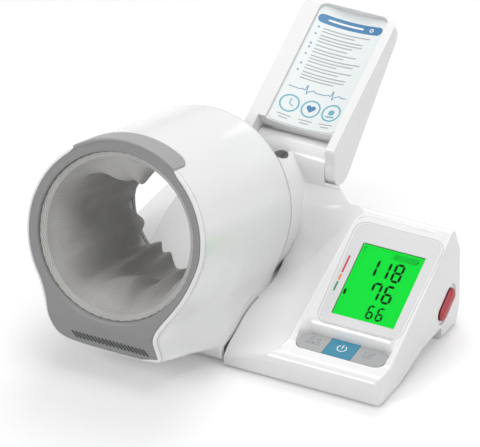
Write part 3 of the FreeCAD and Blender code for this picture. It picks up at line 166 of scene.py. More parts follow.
class Print:
    """Flat marks gathered in a plane, then laid on a surface as one thin piece."""

    def __init__(self):
        self.points = np.zeros((0, 2))
        self.faces = []

    def area(self, outline):
        """One flat shape inside an outline."""
        start = len(self.points)
        self.points = np.vstack([self.points, outline])
        self.faces.append(list(range(start, start + len(outline))))
        return self

    def tile(self, x0, x1, y0, y1, radius, steps=2):
        """One box with round corners."""
        return self.area(rounded_outline(x0, x1, y0, y1, radius, steps))

    def band(self, low, high, closed=False):
        """Quads between two lines with as many points each."""
        count = len(low)
        start = len(self.points)
        self.points = np.vstack([self.points, low, high])
        faces = np.array(grid_faces(2, count, wrap_columns=closed)) + start
        self.faces += faces.tolist()
        return self

    def line(self, path, width, closed=False):
        """Stroke of even width along a path: each point moved half the width to both sides."""
        path = np.asarray(path, float)
        if closed:
            chord = np.roll(path, -1, 0) - np.roll(path, 1, 0)
        else:
            chord = np.gradient(path, axis=0)
        chord /= np.linalg.norm(chord, axis=1)[:, None]
        side = np.stack([chord[:, 1], -chord[:, 0]], -1) * width / 2
        return self.band(path + side, path - side, closed)

    def ring(self, middle, radius, width, start=0.0, end=360.0, steps=32):
        """Stroke along a circle, between angles from +X."""
        closed = end - start >= 360
        turn = np.radians(np.linspace(start, end, steps, endpoint=not closed))
        path = np.array(middle) + radius * np.stack([np.cos(turn), np.sin(turn)], -1)
        return self.line(path, width, closed)

    def bar(self, x0, x1, y, height, steps=12):
        """Level bar with half round ends: the half height follows a circle near both ends."""
        half = height / 2
        x = (x0 + x1) / 2 + (x1 - x0) / 2 * np.sin(np.linspace(-np.pi / 2, np.pi / 2, steps))
        past = np.clip(np.maximum(x0 + half - x, x - x1 + half), 0, half)
        rise = np.sqrt(np.maximum(half ** 2 - past ** 2, 1e-6))
        return self.band(np.column_stack([x, y - rise]), np.column_stack([x, y + rise]))

    def lay(self, name, surface, body, slot, paint, thick=0.06):
        """Maps the marks onto a surface given as a function of (n, 2) points."""
        piece = make_mesh(name, surface(self.points), self.faces, body, paint, smooth=False)
        wall = piece.modifiers.new("thickness", "SOLIDIFY")
        wall.thickness = thick * MM
        wall.offset = -1.0
        return piece


def flat(place, height):
    """Surface of a plane at a height, for Print.lay."""
    return lambda points: place(np.column_stack([points, np.full(len(points), height)]))


# --- shader building ---------------------------------------------------------------------
class Value:
    """A node socket that takes part in arithmetic. Each operator adds one Math node."""

    def __init__(self, nodes, socket):
        self.nodes = nodes
        self.socket = socket

    def math(self, operation, *others):
        inputs = {0: self, **{i + 1: other for i, other in enumerate(others)}}
        return self.nodes.node("ShaderNodeMath", {"operation": operation}, inputs).value()

    def __add__(self, other):
        return self.math("ADD", other)

    def __mul__(self, other):
        return self.math("MULTIPLY", other)

    __radd__ = __add__
    __rmul__ = __mul__

    def clamp(self):
        return self.math("MAXIMUM", 0).math("MINIMUM", 1)


class Node:
    """A placed node, whose outputs are read by name or number."""

    def __init__(self, nodes, made):
        self.nodes = nodes
        self.made = made

    def value(self, name=0):
        return Value(self.nodes, self.made.outputs[name])


class Nodes:
    """A node tree. Every node that is added to it comes from node()."""

    def __init__(self, tree):
        self.tree = tree

    def put(self, socket, given):
        """Links a value to a socket, or sets the socket's own number or colour."""
        if isinstance(given, Value):
            self.tree.links.new(given.socket, socket)
        else:
            socket.default_value = given

    def node(self, kind, settings=None, sockets=None):
        made = self.tree.nodes.new(kind)
        for name, setting in (settings or {}).items():
            setattr(made, name, setting)
        for name, given in (sockets or {}).items():
            self.put(made.inputs[name], given)
        return Node(self, made)

    def seen_rays(self):
        """1 on camera, glossy and transmission rays, which see the pale surroundings."""
        rays = self.node("ShaderNodeLightPath")
        seen = rays.value("Is Camera Ray").math("MAXIMUM", rays.value("Is Glossy Ray"))
        return seen.math("MAXIMUM", rays.value("Is Transmission Ray"))


class Paint(Nodes):
    """A node material with one Principled shader."""

    def __init__(self, name, color, roughness, **fixed):
        self.material = bpy.data.materials.new(name)
        self.material.use_nodes = True
        super().__init__(self.material.node_tree)
        self.shader = self.tree.nodes["Principled BSDF"]
        self.feed(**{"Base Color": (*color, 1), "Roughness": roughness})
        for socket, number in fixed.items():
            self.feed(**{socket.replace("_", " "): number})

    def feed(self, **sockets):
        for name, given in sockets.items():
            self.put(self.shader.inputs[name], given)

    def place(self, kind="Object"):
        return self.node("ShaderNodeTexCoord").value(kind)

    def noise(self, scale, detail=2.0):
        sockets = {"Vector": self.place(), "Scale": scale, "Detail": detail, "Roughness": 0.5}
        return self.node("ShaderNodeTexNoise", None, sockets).value()

    def mix(self, factor, first, second):
        """Colour between two (r, g, b), by a factor. Sockets 6, 7 and 2 are the colour ones."""
        sockets = {0: factor, 6: (*first, 1), 7: (*second, 1)}
        return self.node("ShaderNodeMix", {"data_type": "RGBA"}, sockets).value(2)

    def axes(self, vector):
        parts = self.node("ShaderNodeSeparateXYZ", None, {0: vector})
        return parts.value(0), parts.value(1), parts.value(2)

    def bump(self, height, strength, distance):
        sockets = {"Height": height, "Strength": strength, "Distance": distance}
        self.feed(Normal=self.node("ShaderNodeBump", None, sockets).value())
        return self


def dimmed(color, share):
    """The colour with each part taken down to that share."""
    return tuple(part * share for part in color)


def moulded(name, color, roughness, grain=0.02, **fixed):
    """Moulded plastic: a slow drift of tone and gloss and a faint skin on the surface."""
    paint = Paint(name, color, roughness, **fixed)
    drift = paint.noise(18.0, 3.0)
    paint.feed(**{"Base Color": paint.mix(drift, dimmed(color, 0.965), color)})
    paint.feed(Roughness=paint.noise(160.0) * 0.08 + (roughness - 0.04))
    return paint.bump(paint.noise(2600.0), grain, 0.0002).material


def plain(name, color, roughness, metallic=0.0, **fixed):
    """Inner parts and prints: tone and gloss broken up by noise."""
    paint = Paint(name, color, roughness, Metallic=metallic, **fixed)
    mottle = paint.noise(60.0, 4.0)
    paint.feed(**{"Base Color": paint.mix(mottle, dimmed(color, 0.85), color)})
    paint.feed(Roughness=mottle * 0.2 + (roughness - 0.1))
    return paint.bump(mottle, 0.05, 0.0003).material


def cuff_cloth():
    """Herringbone cloth in the cuff's own UV: ribs along U that lean left and right by turns,
    as the sine of V plus a zigzag of U, crossed by fine threads."""
    bands, ribs, lean, threads = 112.0, 84.0, 0.9, 300.0
    paint = Paint("cuff_cloth", (0.36, 0.355, 0.345), 0.85, Sheen_Weight=0.25)
    across, along, _ = paint.axes(paint.place("UV"))
    zigzag = (across * bands).math("PINGPONG", 1.0)
    rib = ((along * ribs + zigzag * lean) * math.tau).math("SINE")
    thread = (across * threads * math.tau).math("SINE")
    weave = rib * 0.34 + thread * 0.18 + 0.5
    mottle = paint.noise(55.0, 4.0)
    shade = (weave * 0.7 + mottle * 0.3).clamp()
    paint.feed(**{"Base Color": paint.mix(shade, (0.24, 0.238, 0.23), (0.72, 0.71, 0.69))})
    paint.feed(Roughness=mottle * 0.1 + 0.8)
    return paint.bump(weave + mottle * 0.5, 0.5, 0.0006).material


def clear(name, color, alpha):
    """Thin clear film that only dims and reflects a little."""
    paint = Paint(name, color, 0.06)
    paint.feed(Roughness=paint.noise(90.0) * 0.05 + 0.04)
    paint.feed(Alpha=paint.noise(40.0) * 0.02 + alpha)
    return paint.bump(paint.noise(1500.0), 0.01, 0.0001).material


def glow(name, color):
    """Backlit display colour, a little uneven, over a base a tenth as bright."""
    paint = Paint(name, dimmed(color, 0.1), 0.25, Specular_IOR_Level=0.1, Emission_Strength=1.0)
    paint.feed(**{"Emission Color": paint.mix(paint.noise(22.0), dimmed(color, 0.92), color)})
    return paint.bump(paint.noise(1800.0), 0.02, 0.0001).material


WHITE = moulded("white_shell", (0.83, 0.83, 0.83), 0.22, Coat_Weight=0.4, Coat_Roughness=0.08)
GREY = moulded("grey_ring", (0.27, 0.27, 0.27), 0.42, grain=0.08)
# Lighter copy of the ring's grey for the tab: painted light on the tab's top, which faces the lamps above.
# The back ring and the covers share this grey.
LIT_TAB_GREY = moulded("lit_tab_grey", (0.34, 0.34, 0.34), 0.38, grain=0.06)
OVERLAY = moulded("overlay_film", (0.69, 0.69, 0.70), 0.3, Coat_Weight=0.3)
KEY_GREY = moulded("key_grey", (0.37, 0.375, 0.38), 0.5, Specular_IOR_Level=0.2)
KEY_BLUE = moulded("key_blue", (0.045, 0.235, 0.35), 0.5, Specular_IOR_Level=0.2)
RED = moulded("stop_red", (0.47, 0.035, 0.045), 0.3, Coat_Weight=0.3)
# Dark plastic of the inner parts; the vent plugs use it too, as painted shade in the slots.
DARK = plain("inner_plastic", (0.05, 0.055, 0.06), 0.5)
GREEN = glow("lcd_green", (0.001, 0.80, 0.045))
INK = plain("lcd_ink", (0.002, 0.012, 0.003), 0.6, Specular_IOR_Level=0.05)
LENS = clear("lens_clear", (0.02, 0.03, 0.02), 0.05)
PRINT_GREY = plain("print_grey", (0.17, 0.175, 0.18), 0.5)
LINE_GREY = plain("line_grey", (0.42, 0.43, 0.44), 0.5)
PRINT_WHITE = plain("print_white", (0.88, 0.90, 0.92), 0.5)
PRINT_RED = plain("print_red", (0.62, 0.035, 0.05), 0.45)
PRINT_ORANGE = plain("print_orange", (0.85, 0.24, 0.03), 0.45)
PRINT_GREEN = plain("print_green", (0.05, 0.30, 0.10), 0.45)
PRINT_BLUE = plain("print_blue", (0.06, 0.22, 0.42), 0.45)
PRINT_TEAL = plain("print_teal", (0.16, 0.45, 0.55), 0.45)
CARD = moulded("card_white", (0.76, 0.80, 0.80), 0.5)
RUBBER = plain("rubber", (0.03, 0.03, 0.03), 0.8)
STEEL = plain("steel", (0.55, 0.55, 0.56), 0.35, metallic=1.0)
BRASS = plain("brass", (0.62, 0.45, 0.16), 0.35, metallic=1.0)
BOARD = plain("board_green", (0.02, 0.12, 0.05), 0.45)
CELL = plain("cell_wrap", (0.05, 0.14, 0.30), 0.35)
MESH_GREY = moulded("grille_grey", (0.50, 0.50, 0.51), 0.45)
CLOTH = cuff_cloth()

NODE_PAINTS = {
    WHITE: ["base_housing", "hinge_block", "tunnel_shell", "lid_tray"],
    GREY: ["front_bezel"],
    LIT_TAB_GREY: ["top_tab", "back_ring", "bottom_cover", "battery_cover"],
    OVERLAY: ["display_overlay"],
    LENS: ["lcd_lens"],
    KEY_GREY: ["user_key", "memory_key"],
    KEY_BLUE: ["start_key"],
    RED: ["stop_button"],
    GREEN: ["lcd_panel"],
    CARD: ["instruction_card"],
    RUBBER: ["rubber_feet", "air_bladder", "air_hose"],
    STEEL: ["bottom_screws", "back_ring_screws", "tunnel_shaft", "lid_pins", "air_pump"],
    BRASS: ["battery_contacts"],
    BOARD: ["circuit_board"],
    CELL: ["battery_cells"],
    MESH_GREY: ["speaker_grille"],
    CLOTH: ["cuff_sleeve"],
    DARK: ["lcd_frame", "key_guide", "key_switches", "stop_switch", "release_valve", "dc_socket",
           "speaker", "cuff_drum", "hinge_bushes"],
}
for paint, names in NODE_PAINTS.items():
    for name in names:
        NODES[name].data.materials.clear()
        NODES[name].data.materials.append(paint)


# --- tunnel shell and front ring -----------------------------------------------------------
# Points here are across, up and forward from the middle of the ring's face, in millimetres.
CREASE = -77.5             # height of the crease across the foot
FOOT_LEAN = -0.42          # how far the foot's front goes back, per millimetre below the crease
LEAN_FADES = (8, 45)       # depths between which the lean fades out
SPLINE_GROW = 1.004        # makes up for the spline, which runs inside its points
RIM_W = 2.7                # white rim round the ring, and how much more it has at the right
RIM_SWAY = 0.7
FOOT_HEIGHTS = (62, 88)    # below the axis, where the rim thins towards the foot
FOOT_END = (34, 46)        # right of the axis, where it widens again
GROOVE = 0.9               # line behind the rim
SHELL_START = -5.2         # depth at which the shell comes out of the groove
SHELL_T = 3.0
RING_GAP = 0.15            # between the rim and the grey ring
TAB_FROM, TAB_TO = -36.5, 33.5     # ends of the tab, degrees from straight up
TAB_L = 27.0
TAB_CORNER = 11.0
TAB_EDGE_R = 1.4
TAB_LIFT, TAB_SINK = 1.2, 0.7      # top of the tab over the shell, and its edge under it
TAB_UNDER = 1.5
VENT_SIZE = (0.8, 3.8)     # half of a slot's width and length
VENT_Y = -90.6
HUB_RIGHT = 145.5          # from the base's right face to the hub
HUB_W = 54.0
HUB_EDGE_R = 1.5
BARREL = (10.0, 13.0)      # middle of the hub's barrel: behind the base's front, and up
BARREL_R = 11.4
ROUND_FROM, ROUND_TO = -132.0, 96.0    # the round part of the shell, degrees from straight up
STATIONS = (0.0, -25.0, -50.0, -68.0, -84.0, -110.0, -137.0, -162.0)   # along the axis
# Below the round part each station has the same points, from its right end to its left:
# down the flared side, along the foot or hub, and up the left side.
FLARE = (
    ((71, -39.5), (58, -59), (49.5, -72), (49, -81), (55, -95), (50, -98.5), (20, -98.5), (8, -98.5),
     (-32, -98.5), (-45, -93), (-52, -77)),
    ((72, -39.5), (61, -58), (55, -72), (56, -84), (58, -96), (52, -98.5), (20, -98.5), (8, -98.5),
     (-32, -98.5), (-45, -93), (-52, -77)),
    ((74, -39), (65, -56), (61.5, -70), (62, -82), (63, -94), (56, -98), (20, -98), (8, -98),
     (-32, -97), (-44, -91), (-52, -76)),
    ((75, -38), (68, -54), (66, -67), (68, -80), (70, -92), (62, -98), (21, -98), (15, -94),
     (-24, -89), (-38, -80), (-52, -69)),
    ((76, -37), (70.5, -52), (70, -63), (75.3, -71.5), (75.5, -93), (72, -96), (22, -96), (19, -82),
     (-12, -82.5), (-32, -77), (-52, -65)),
    ((77, -36), (72, -50), (71.5, -59), (75.3, -66.5), (75.5, -85), (72, -90), (22, -90), (19, -82),
     (-12, -82.5), (-32, -78), (-52, -66)),
    ((78, -34), (74, -46), (73.5, -53), (75.3, -58), (75.5, -76), (70, -81.5), (24, -81.5), (19, -81.5),
     (-12, -81.5), (-32, -79), (-52, -66)),
    ((79, -31), (76, -40), (75, -46), (75.3, -51), (75.3, -70), (70, -73.6), (24, -73.6), (19, -73.6),
     (-12, -73.6), (-38, -73.6), (-54, -65)),
)


def around(turn):
    """Unit circle points at angles from straight up, going right."""
    return np.stack([np.sin(turn), np.cos(turn)], -1)


def shell_radius(depths):
    """Radius of the shell's round part, which grows evenly from front to back."""
    return RING_R + (RING_BACK_R - RING_R) * np.asarray(depths) / -TUNNEL_L


def closed_spline(points, steps=4):
    """Closed cubic B-spline: each stretch weighs four neighbouring points by cubics of the
    share along it. Works on the second to last axis, and gives steps points per stretch."""
    t = np.linspace(0, 1, steps, endpoint=False)[:, None]
    weights = ((1 - t) ** 3 / 6, (3 * t ** 3 - 6 * t ** 2 + 4) / 6,
               (-3 * t ** 3 + 3 * t ** 2 + 3 * t + 1) / 6, t ** 3 / 6)
    rolled = [np.roll(points, 1 - i, -2)[..., :, None, :] for i in range(4)]
    curve = sum(weight * part for weight, part in zip(weights, rolled))
    return curve.reshape(*points.shape[:-2], -1, points.shape[-1])


def shell_sections(depths):
    """Outlines of the tunnel shell at depths behind the ring, as (depths, n, 2). A circle
    runs from ROUND_FROM over the top to ROUND_TO, and the flare's points, in even steps
    between the stations, close it below; one B-spline goes through them all."""
    turn = np.radians(np.linspace(ROUND_FROM, ROUND_TO, 25))
    circle = shell_radius(depths)[:, None, None] * SPLINE_GROW * around(turn)
    flare = np.array(FLARE, float)
    low = np.empty((len(depths), *flare.shape[1:]))
    for column in np.ndindex(flare.shape[1:]):
        low[(slice(None), *column)] = np.interp(-np.asarray(depths), -np.array(STATIONS),
                                                flare[(slice(None), *column)])
    return closed_spline(np.concatenate([circle, low], 1))


def foot_lean(height):
    """How far the front leans back below the crease across the foot."""
    return np.maximum(0, CREASE - height) * FOOT_LEAN


def at_depth(outlines, depths):
    """Adds the depth as third coordinate, with the foot's lean fading out behind the front,
    and places the points in the row frame."""
    z = np.broadcast_to(np.asarray(depths, float)[:, None, None], (*outlines.shape[:2], 1))
    z = z + foot_lean(outlines[..., 1:]) * (1 - ease(-z, *LEAN_FADES))
    return on_tunnel(np.concatenate([outlines, z], -1))


def drawn_in(outlines, inset):
    """Each outline moved inwards along its normals. The outlines go round clockwise, so that
    their normals point inwards."""
    return np.stack([line + outline_normals(line) * np.reshape(inset, (-1, 1)) for line in outlines])


def rim_width(mouth):
    """White edge round the front ring: wider on the right than on the left, and close to
    nothing along the foot and under the tab."""
    turn = np.arctan2(mouth[:, 0], mouth[:, 1])
    angle = np.degrees(turn)
    foot = ease(-mouth[:, 1], *FOOT_HEIGHTS) * (1 - ease(mouth[:, 0], *FOOT_END))
    tab = ease(angle, TAB_FROM - 5, TAB_FROM + 2) * (1 - ease(angle, TAB_TO - 2, TAB_TO + 5))
    return (RIM_W + RIM_SWAY * np.sin(turn)) * (1 - 0.8 * foot) * (1 - 0.85 * tab)


def tunnel_cover():
    """White shell: outline after outline down the tunnel, a rim with a groove behind it at
    the front, a ledge that seats the front ring, and a round inner wall."""
    depths = np.concatenate([[SHELL_START], np.linspace(SHELL_START - 0.4, 1 - TUNNEL_L, 44), [-TUNNEL_L]])
    outer = shell_sections(depths)
    outer[-1] = drawn_in(outer[-1:], 0.8)[0]
    round_line = around(np.arctan2(outer[0, :, 0], outer[0, :, 1]))
    mouth = shell_sections([0.0])
    rim = rim_width(mouth[0])
    front = [(rim, -BEZEL_T), (rim, -1.0), (rim * 0.9, -0.2), (rim * 0.5, 0.0), (rim * 0.17, -0.2),
             (0.0, -1.0), (0.0, -4.2), (GROOVE, -4.5), (GROOVE, -5.1)]
    inner = [(RING_BACK_R - SHELL_T, -TUNNEL_L), (RING_R - SHELL_T, -BEZEL_T - 6)]
    lines = [drawn_in(mouth, inset)[0] for inset, _ in front] + list(outer)
    lines += [round_line * radius for radius, _ in inner]
    places = [depth for _, depth in front] + list(depths) + [depth for _, depth in inner]
    points = at_depth(np.stack(lines), places)
    faces = grid_faces(*points.shape[:2], wrap_rows=True, wrap_columns=True)
    make_mesh("tunnel_cover", points.reshape(-1, 3), faces, "tunnel", WHITE,
              replaces=["tunnel_shell"])


def front_ring(reach=7, bands=22):
    """Grey ring that fills the shell's mouth: from the round bore to the mouth's own outline,
    both edges rounded, with a foot that leans back below a crease. The bore's angles are
    those of the mouth, evened out by the mean over reach neighbours on both sides."""
    mouth = shell_sections([0.0])
    mouth = drawn_in(mouth, rim_width(mouth[0]) + RING_GAP)[0]
    turn = np.unwrap(np.arctan2(mouth[:, 0], mouth[:, 1]))
    turn = np.concatenate([turn[-reach:] - 2 * np.pi, turn, turn[:reach] + 2 * np.pi])
    turn = np.convolve(turn, np.ones(2 * reach + 1) / (2 * reach + 1), "valid")
    bore = around(turn) * BEZEL_R
    share = (0.0, 0.0, 0.06, *np.linspace(0.12, 0.92, bands), 0.97, 1.0, 1.0, 0.5)
    depth = (-BEZEL_T, -1.4, -0.4, *np.full(bands, -0.15), -0.2, -0.6, -BEZEL_T, -BEZEL_T)
    lines = np.stack([bore + (mouth - bore) * part for part in share])
    points = at_depth(lines, depth)
    faces = grid_faces(*points.shape[:2], wrap_rows=True, wrap_columns=True)
    make_mesh("front_ring", points.reshape(-1, 3), faces, "tunnel", GREY,
              replaces=["front_bezel"])


def vent_shades(count=20, pitch=3.46, first=-26.0, lean=45.0):
    """Row of slanted slots along the ring's foot: each is a dark plug, a touch proud of the ring, painted
    shade that stands in for the slot's hollow.
    """
    half_w, half_l = VENT_SIZE
    c, s = math.cos(math.radians(lean)), math.sin(math.radians(lean))
    slot = rounded_outline(-half_w, half_w, -half_l, half_l, 0.75, 4) @ np.array([[c, s], [-s, c]])
    for i in range(count):
        points, faces = stacked(slot + (first + pitch * i, VENT_Y), [(0, -3.0), (0, 0.1)])
        points[:, 2] += foot_lean(points[:, 1])
        # A dark plug in the slot's place: painted shade of its hollow, not an opening.
        make_mesh("vent_%02d" % (i + 1), on_tunnel(points), faces, "tunnel", DARK)


def tab_cover(rows=110, columns=34):
    """Tab over the top of the ring: a patch of a slightly larger cylinder, with round corners
    at its back. Its height follows a quarter circle of the distance to the nearest edge."""
    half, mid = math.radians(TAB_TO - TAB_FROM) / 2, math.radians(TAB_TO + TAB_FROM) / 2
    turn = mid + half * np.sin(np.linspace(-np.pi / 2, np.pi / 2, rows))[:, None]
    along = (1 - np.cos(np.linspace(0, np.pi, columns)))[None, :] / 2
    end = (half - np.abs(turn - mid)) * RING_R
    near = np.clip(TAB_CORNER - end, 0, TAB_CORNER)
    length = TAB_L - TAB_CORNER + np.sqrt(TAB_CORNER ** 2 - near ** 2)
    depth = 0.15 - along * length
    edge = np.minimum(np.minimum(end, 0.5 + along * length), (1 - along) * length)
    rise = np.sqrt(1 - (1 - np.clip(edge / TAB_EDGE_R, 0, 1)) ** 2)
    lift = rise * (TAB_LIFT + TAB_SINK) - TAB_SINK
    crown = shell_radius(depth) + RING_R * (SPLINE_GROW - 1)
    spread = [np.stack([radius * np.sin(turn), radius * np.cos(turn), depth], -1)
              for radius in (crown + lift, crown - TAB_UNDER)]
    rings = np.concatenate([spread[0], spread[1][:, ::-1]], 1)
    # The tab's paint is the ring's grey made lighter: painted light on its top.
    make_mesh("tab_cover", on_tunnel(rings.reshape(-1, 3)), tube_faces(rows, 2 * columns), "tunnel",
              LIT_TAB_GREY, replaces=["top_tab"])


def hub_cover():
    """Barrel on the hinge axis with the fairing over it: an outline in depth and height,
    carried across with both ends rounded."""
    turn = np.radians(np.linspace(-65, -265, 30))
    arc = np.array(BARREL) + BARREL_R * np.stack([np.cos(turn), np.sin(turn)], -1)
    fairing = [(24.0, 24.0), (29.5, 36.5), (60.0, 37.5), (61.0, 24.0), (44.0, 14.0), (24.0, 10.0)]
    outline = np.concatenate([arc, fairing])[::-1]
    reach = np.radians(np.linspace(0, 90, 5))
    profile = [(HUB_EDGE_R * (1 - math.sin(t)), HUB_EDGE_R * (1 - math.cos(t))) for t in reach]
    profile += [(inset, HUB_W - across) for inset, across in profile[::-1]]
    points, faces = stacked(outline, profile)
    left = BASE_RIGHT - HUB_RIGHT - HUB_W
    spots = np.column_stack([left + points[:, 2], BASE_FRONT + points[:, 0], points[:, 1]])
    make_mesh("hub_cover", spots, faces, "tunnel", WHITE)


tunnel_cover()
front_ring()
vent_shades()
tab_cover()
hub_cover()


# --- cuff ---------------------------------------------------------------------------------
CUFF_FRONT = -3.6          # depth of the cloth's front edge
CUFF_L = 149.6
CUFF_T = 1.2
CLOTH_EASE = 0.3           # how far the cloth stands inside CUFF_R
LIP = 4.2                  # how far the front edge flares out, and up to which depth
LIP_END = 7.2
FLARE_H = 4.0              # bell behind the lip: height, depth of its top and half length
FLARE_DEPTH = -7.0
FLARE_L = 15.0
FOLD_GAIN = 1.8
FLAP_H = 21.0
SCALLOP_H = 3.2
SCALLOP_PULL = 1.6         # how far a scallop draws the rear forward, per millimetre of height
HEM_FROM = 0.945           # share of the depth at which the rear hem starts
HEM_R = 62.6
HEM_REACH = 4.2            # how far the hem runs on behind the cloth, to the rear ring
# Folds of the cloth: angle from straight up, half width in degrees, share of the depth,
# half length as a share, and rise towards the axis in millimetres.
FOLDS = (
    (-118, 17, 0.36, 0.24, 7.0), (-92, 15, 0.20, 0.14, 3.5), (-148, 7, 0.92, 0.26, 9.0),
    (-150, 8, 0.60, 0.22, 5.0), (-119, 11, 0.86, 0.24, 8.0), (-166, 10, 0.26, 0.22, 6.0),
    (-163, 8, 0.98, 0.22, 9.0), (180, 11, 0.36, 0.26, 9.0), (158, 11, 0.62, 0.36, 9.0),
    (-84, 15, 0.78, 0.34, 5.0), (-58, 15, 0.84, 0.30, 5.0), (128, 15, 0.62, 0.40, 6.0),
    (96, 16, 0.80, 0.35, 6.0), (60, 16, 0.84, 0.30, 5.0), (-20, 24, 0.92, 0.20, 5.0),
    (26, 20, 0.90, 0.20, 5.0))


def bell(value, middle, half):
    """1 at the middle and e to the minus square of the distance in halves elsewhere."""
    return np.exp(-((value - middle) / half) ** 2)


def fold_height(turn, share):
    """Sum of the folds, each a bell round the bore times a bell along it."""
    height = np.zeros_like(turn)
    for centre, across, middle, along, rise in FOLDS:
        apart = np.angle(np.exp(1j * (turn - math.radians(centre))))
        height += rise * bell(apart, 0, math.radians(across)) * bell(share, middle, along)
    return height


def flap_height(turn, share):
    """Loose flap behind the top of the ring: it swells slowly and ends steeply, both ways."""
    angle = np.degrees(turn)
    around_bore = ease(angle, -64, -14) * (1 - ease(angle, 2, 20))
    return around_bore * ease(share, 0.01, 0.21) * (1 - ease(share, 0.225, 0.285))


def ripple_height(turn, share):
    """Fine ripples along the cloth: two sines of the angle that drift down the bore, growing
    from nothing at the front."""
    wave = np.sin(turn * 11 + share * 5.0 + 1.3 * np.sin(turn * 3))
    wave += 0.5 * np.sin(turn * 23 - share * 7.0 + 2.0)
    return wave * np.clip(share / 0.2, 0, 1) ** 2


def cuff(rows=190, columns=480):
    """Cloth tube: radius as a function of the angle round the bore and the share of depth.
    It flares to the ring in front, in two steps that clear the drum's edge. Rounded folds, a
    flap, ripples and scallops at the rear push it inwards, and a hem takes it out to the
    rear ring's edge behind the scallops."""
    share, turn = np.meshgrid(np.linspace(0, 1, rows) ** 1.15,
                              np.linspace(-np.pi, np.pi, columns, endpoint=False), indexing="ij")
    depth = CUFF_FRONT - share * CUFF_L
    radius = CUFF_R - CLOTH_EASE + LIP * (1 - ease(-depth, -CUFF_FRONT, LIP_END))
    radius += FLARE_H * bell(depth, FLARE_DEPTH, FLARE_L)
    radius -= fold_height(turn, share) * FOLD_GAIN * ease(share, 0.0, 0.10)
    radius -= FLAP_H * flap_height(turn, share) + ripple_height(turn, share)
    scallop = np.abs(np.sin(turn * 10.5 + 0.6 * np.sin(turn * 4))) * SCALLOP_H
    back = np.clip((share - 0.75) / 0.25, 0, 1) ** 2
    radius -= (scallop + 1.0) * back
    hem = ease(share, HEM_FROM, 1.0)
    radius = radius * (1 - hem) + HEM_R * hem
    depth = depth + scallop * SCALLOP_PULL * back * (1 - hem) - HEM_REACH * hem
    points = np.concatenate([radius[..., None] * around(turn), depth[..., None]], -1)
    length = np.cumsum(np.linalg.norm(np.diff(points, axis=0, prepend=points[:1]), axis=-1), 0)
    uv = np.stack([turn / (2 * np.pi) + 0.5, length / 150.0], -1)
    faces = grid_faces(rows, columns, wrap_columns=True)
    piece = make_mesh("cuff_cloth", on_tunnel(points.reshape(-1, 3)), faces, "tunnel",
                      CLOTH, uv=uv.reshape(-1, 2), replaces=["cuff_sleeve"])
    wall = piece.modifiers.new("wall", "SOLIDIFY")
    wall.thickness = CUFF_T * MM
    wall.offset = 1.0


cuff()


# --- display, keys and stop button ------------------------------------------------------------
# Points on the panel and the key strip are across from the base's right face, and up the slope.
MARK_LIFT = 0.05           # height of a print over its surface
LCD_DEPTH = -1.225         # the figures lie under the lens
LCD_MARK_T = 0.02
# Segments of a digit as lines between the corners of a box two squares high.
SEGMENTS = {"a": ((0, 2), (1, 2)), "b": ((1, 2), (1, 1)), "c": ((1, 1), (1, 0)), "d": ((0, 0), (1, 0)),
            "e": ((0, 1), (0, 0)), "f": ((0, 2), (0, 1)), "g": ((0, 1), (1, 1))}
DIGITS = {"1": "bc", "3": "abcdg", "5": "acdfg", "6": "acdefg", "7": "abcf", "8": "abcdefg"}
# Rows of figures: low edge, width and height, stroke, and each figure with its left edge.
LCD_ROWS = (
    (75.6, (8.9, 18.2), 2.2, (("1", -57.6), ("1", -46.8), ("8", -34.9))),
    (54.4, (8.9, 17.8), 2.2, (("7", -46.4), ("6", -34.9))),
    (37.4, (6.4, 13.2), 1.7, (("6", -41.6), ("6", -32.8))),
    (96.2, (3.0, 5.0), 0.55, (("8", -39.6), ("5", -34.9), ("3", -31.3))))
# Bars beside the display, from top to bottom: low and high end.
LEVELS = (("scale_high", 72.4, 89.3, PRINT_RED), ("scale_raised", 64.8, 70.7, PRINT_ORANGE),
          ("scale_normal", 54.1, 63.6, PRINT_GREEN))
OVERLAY_MID = -42.2        # middle of the display's film
OVERLAY_LOW, OVERLAY_HIGH = 23.8, 123.2
OVERLAY_HALF_W = 38.6
OVERLAY_WIDEN = 0.063      # share by which the film is wider at its upper end
STOP_HALF_L, STOP_HALF_W = 15.4, 6.7
STOP_RISE = 3.4
STOP_FOOT = 0.2            # height at which the stop button's dome starts
BEAD_HALF_W = 2.3          # bead round the display
BEAD_H = 1.1
BEAD_SINK = 0.25           # how far its edges lie under the slope, and its thickness
BEAD_T = 1.2
BEAD_FADES = (22, 18)      # how long the bead takes to rise and to end
SLOPE_FOOT = (21.5, 28.0)  # where the display slope starts: from the base's front, and up


def digit(marks, figure, corner, box, stroke):
    """Seven segment figure: each lit segment is a hexagon, pointed at both ends, along its line."""
    size = (np.array(box) - stroke) / (1, 2)
    low = np.array(corner) + stroke / 2
    for key in DIGITS[figure]:
        start, end = (low + np.array(point) * size for point in SEGMENTS[key])
        along = (end - start) / np.linalg.norm(end - start)
        side = np.array([-along[1], along[0]]) * stroke / 2
        near, far = start + along * stroke * 0.12, end - along * stroke * 0.12
        inset = along * stroke / 2
        marks.area([near, near + inset + side, far - inset + side, far, far - inset - side,
                    near + inset - side])


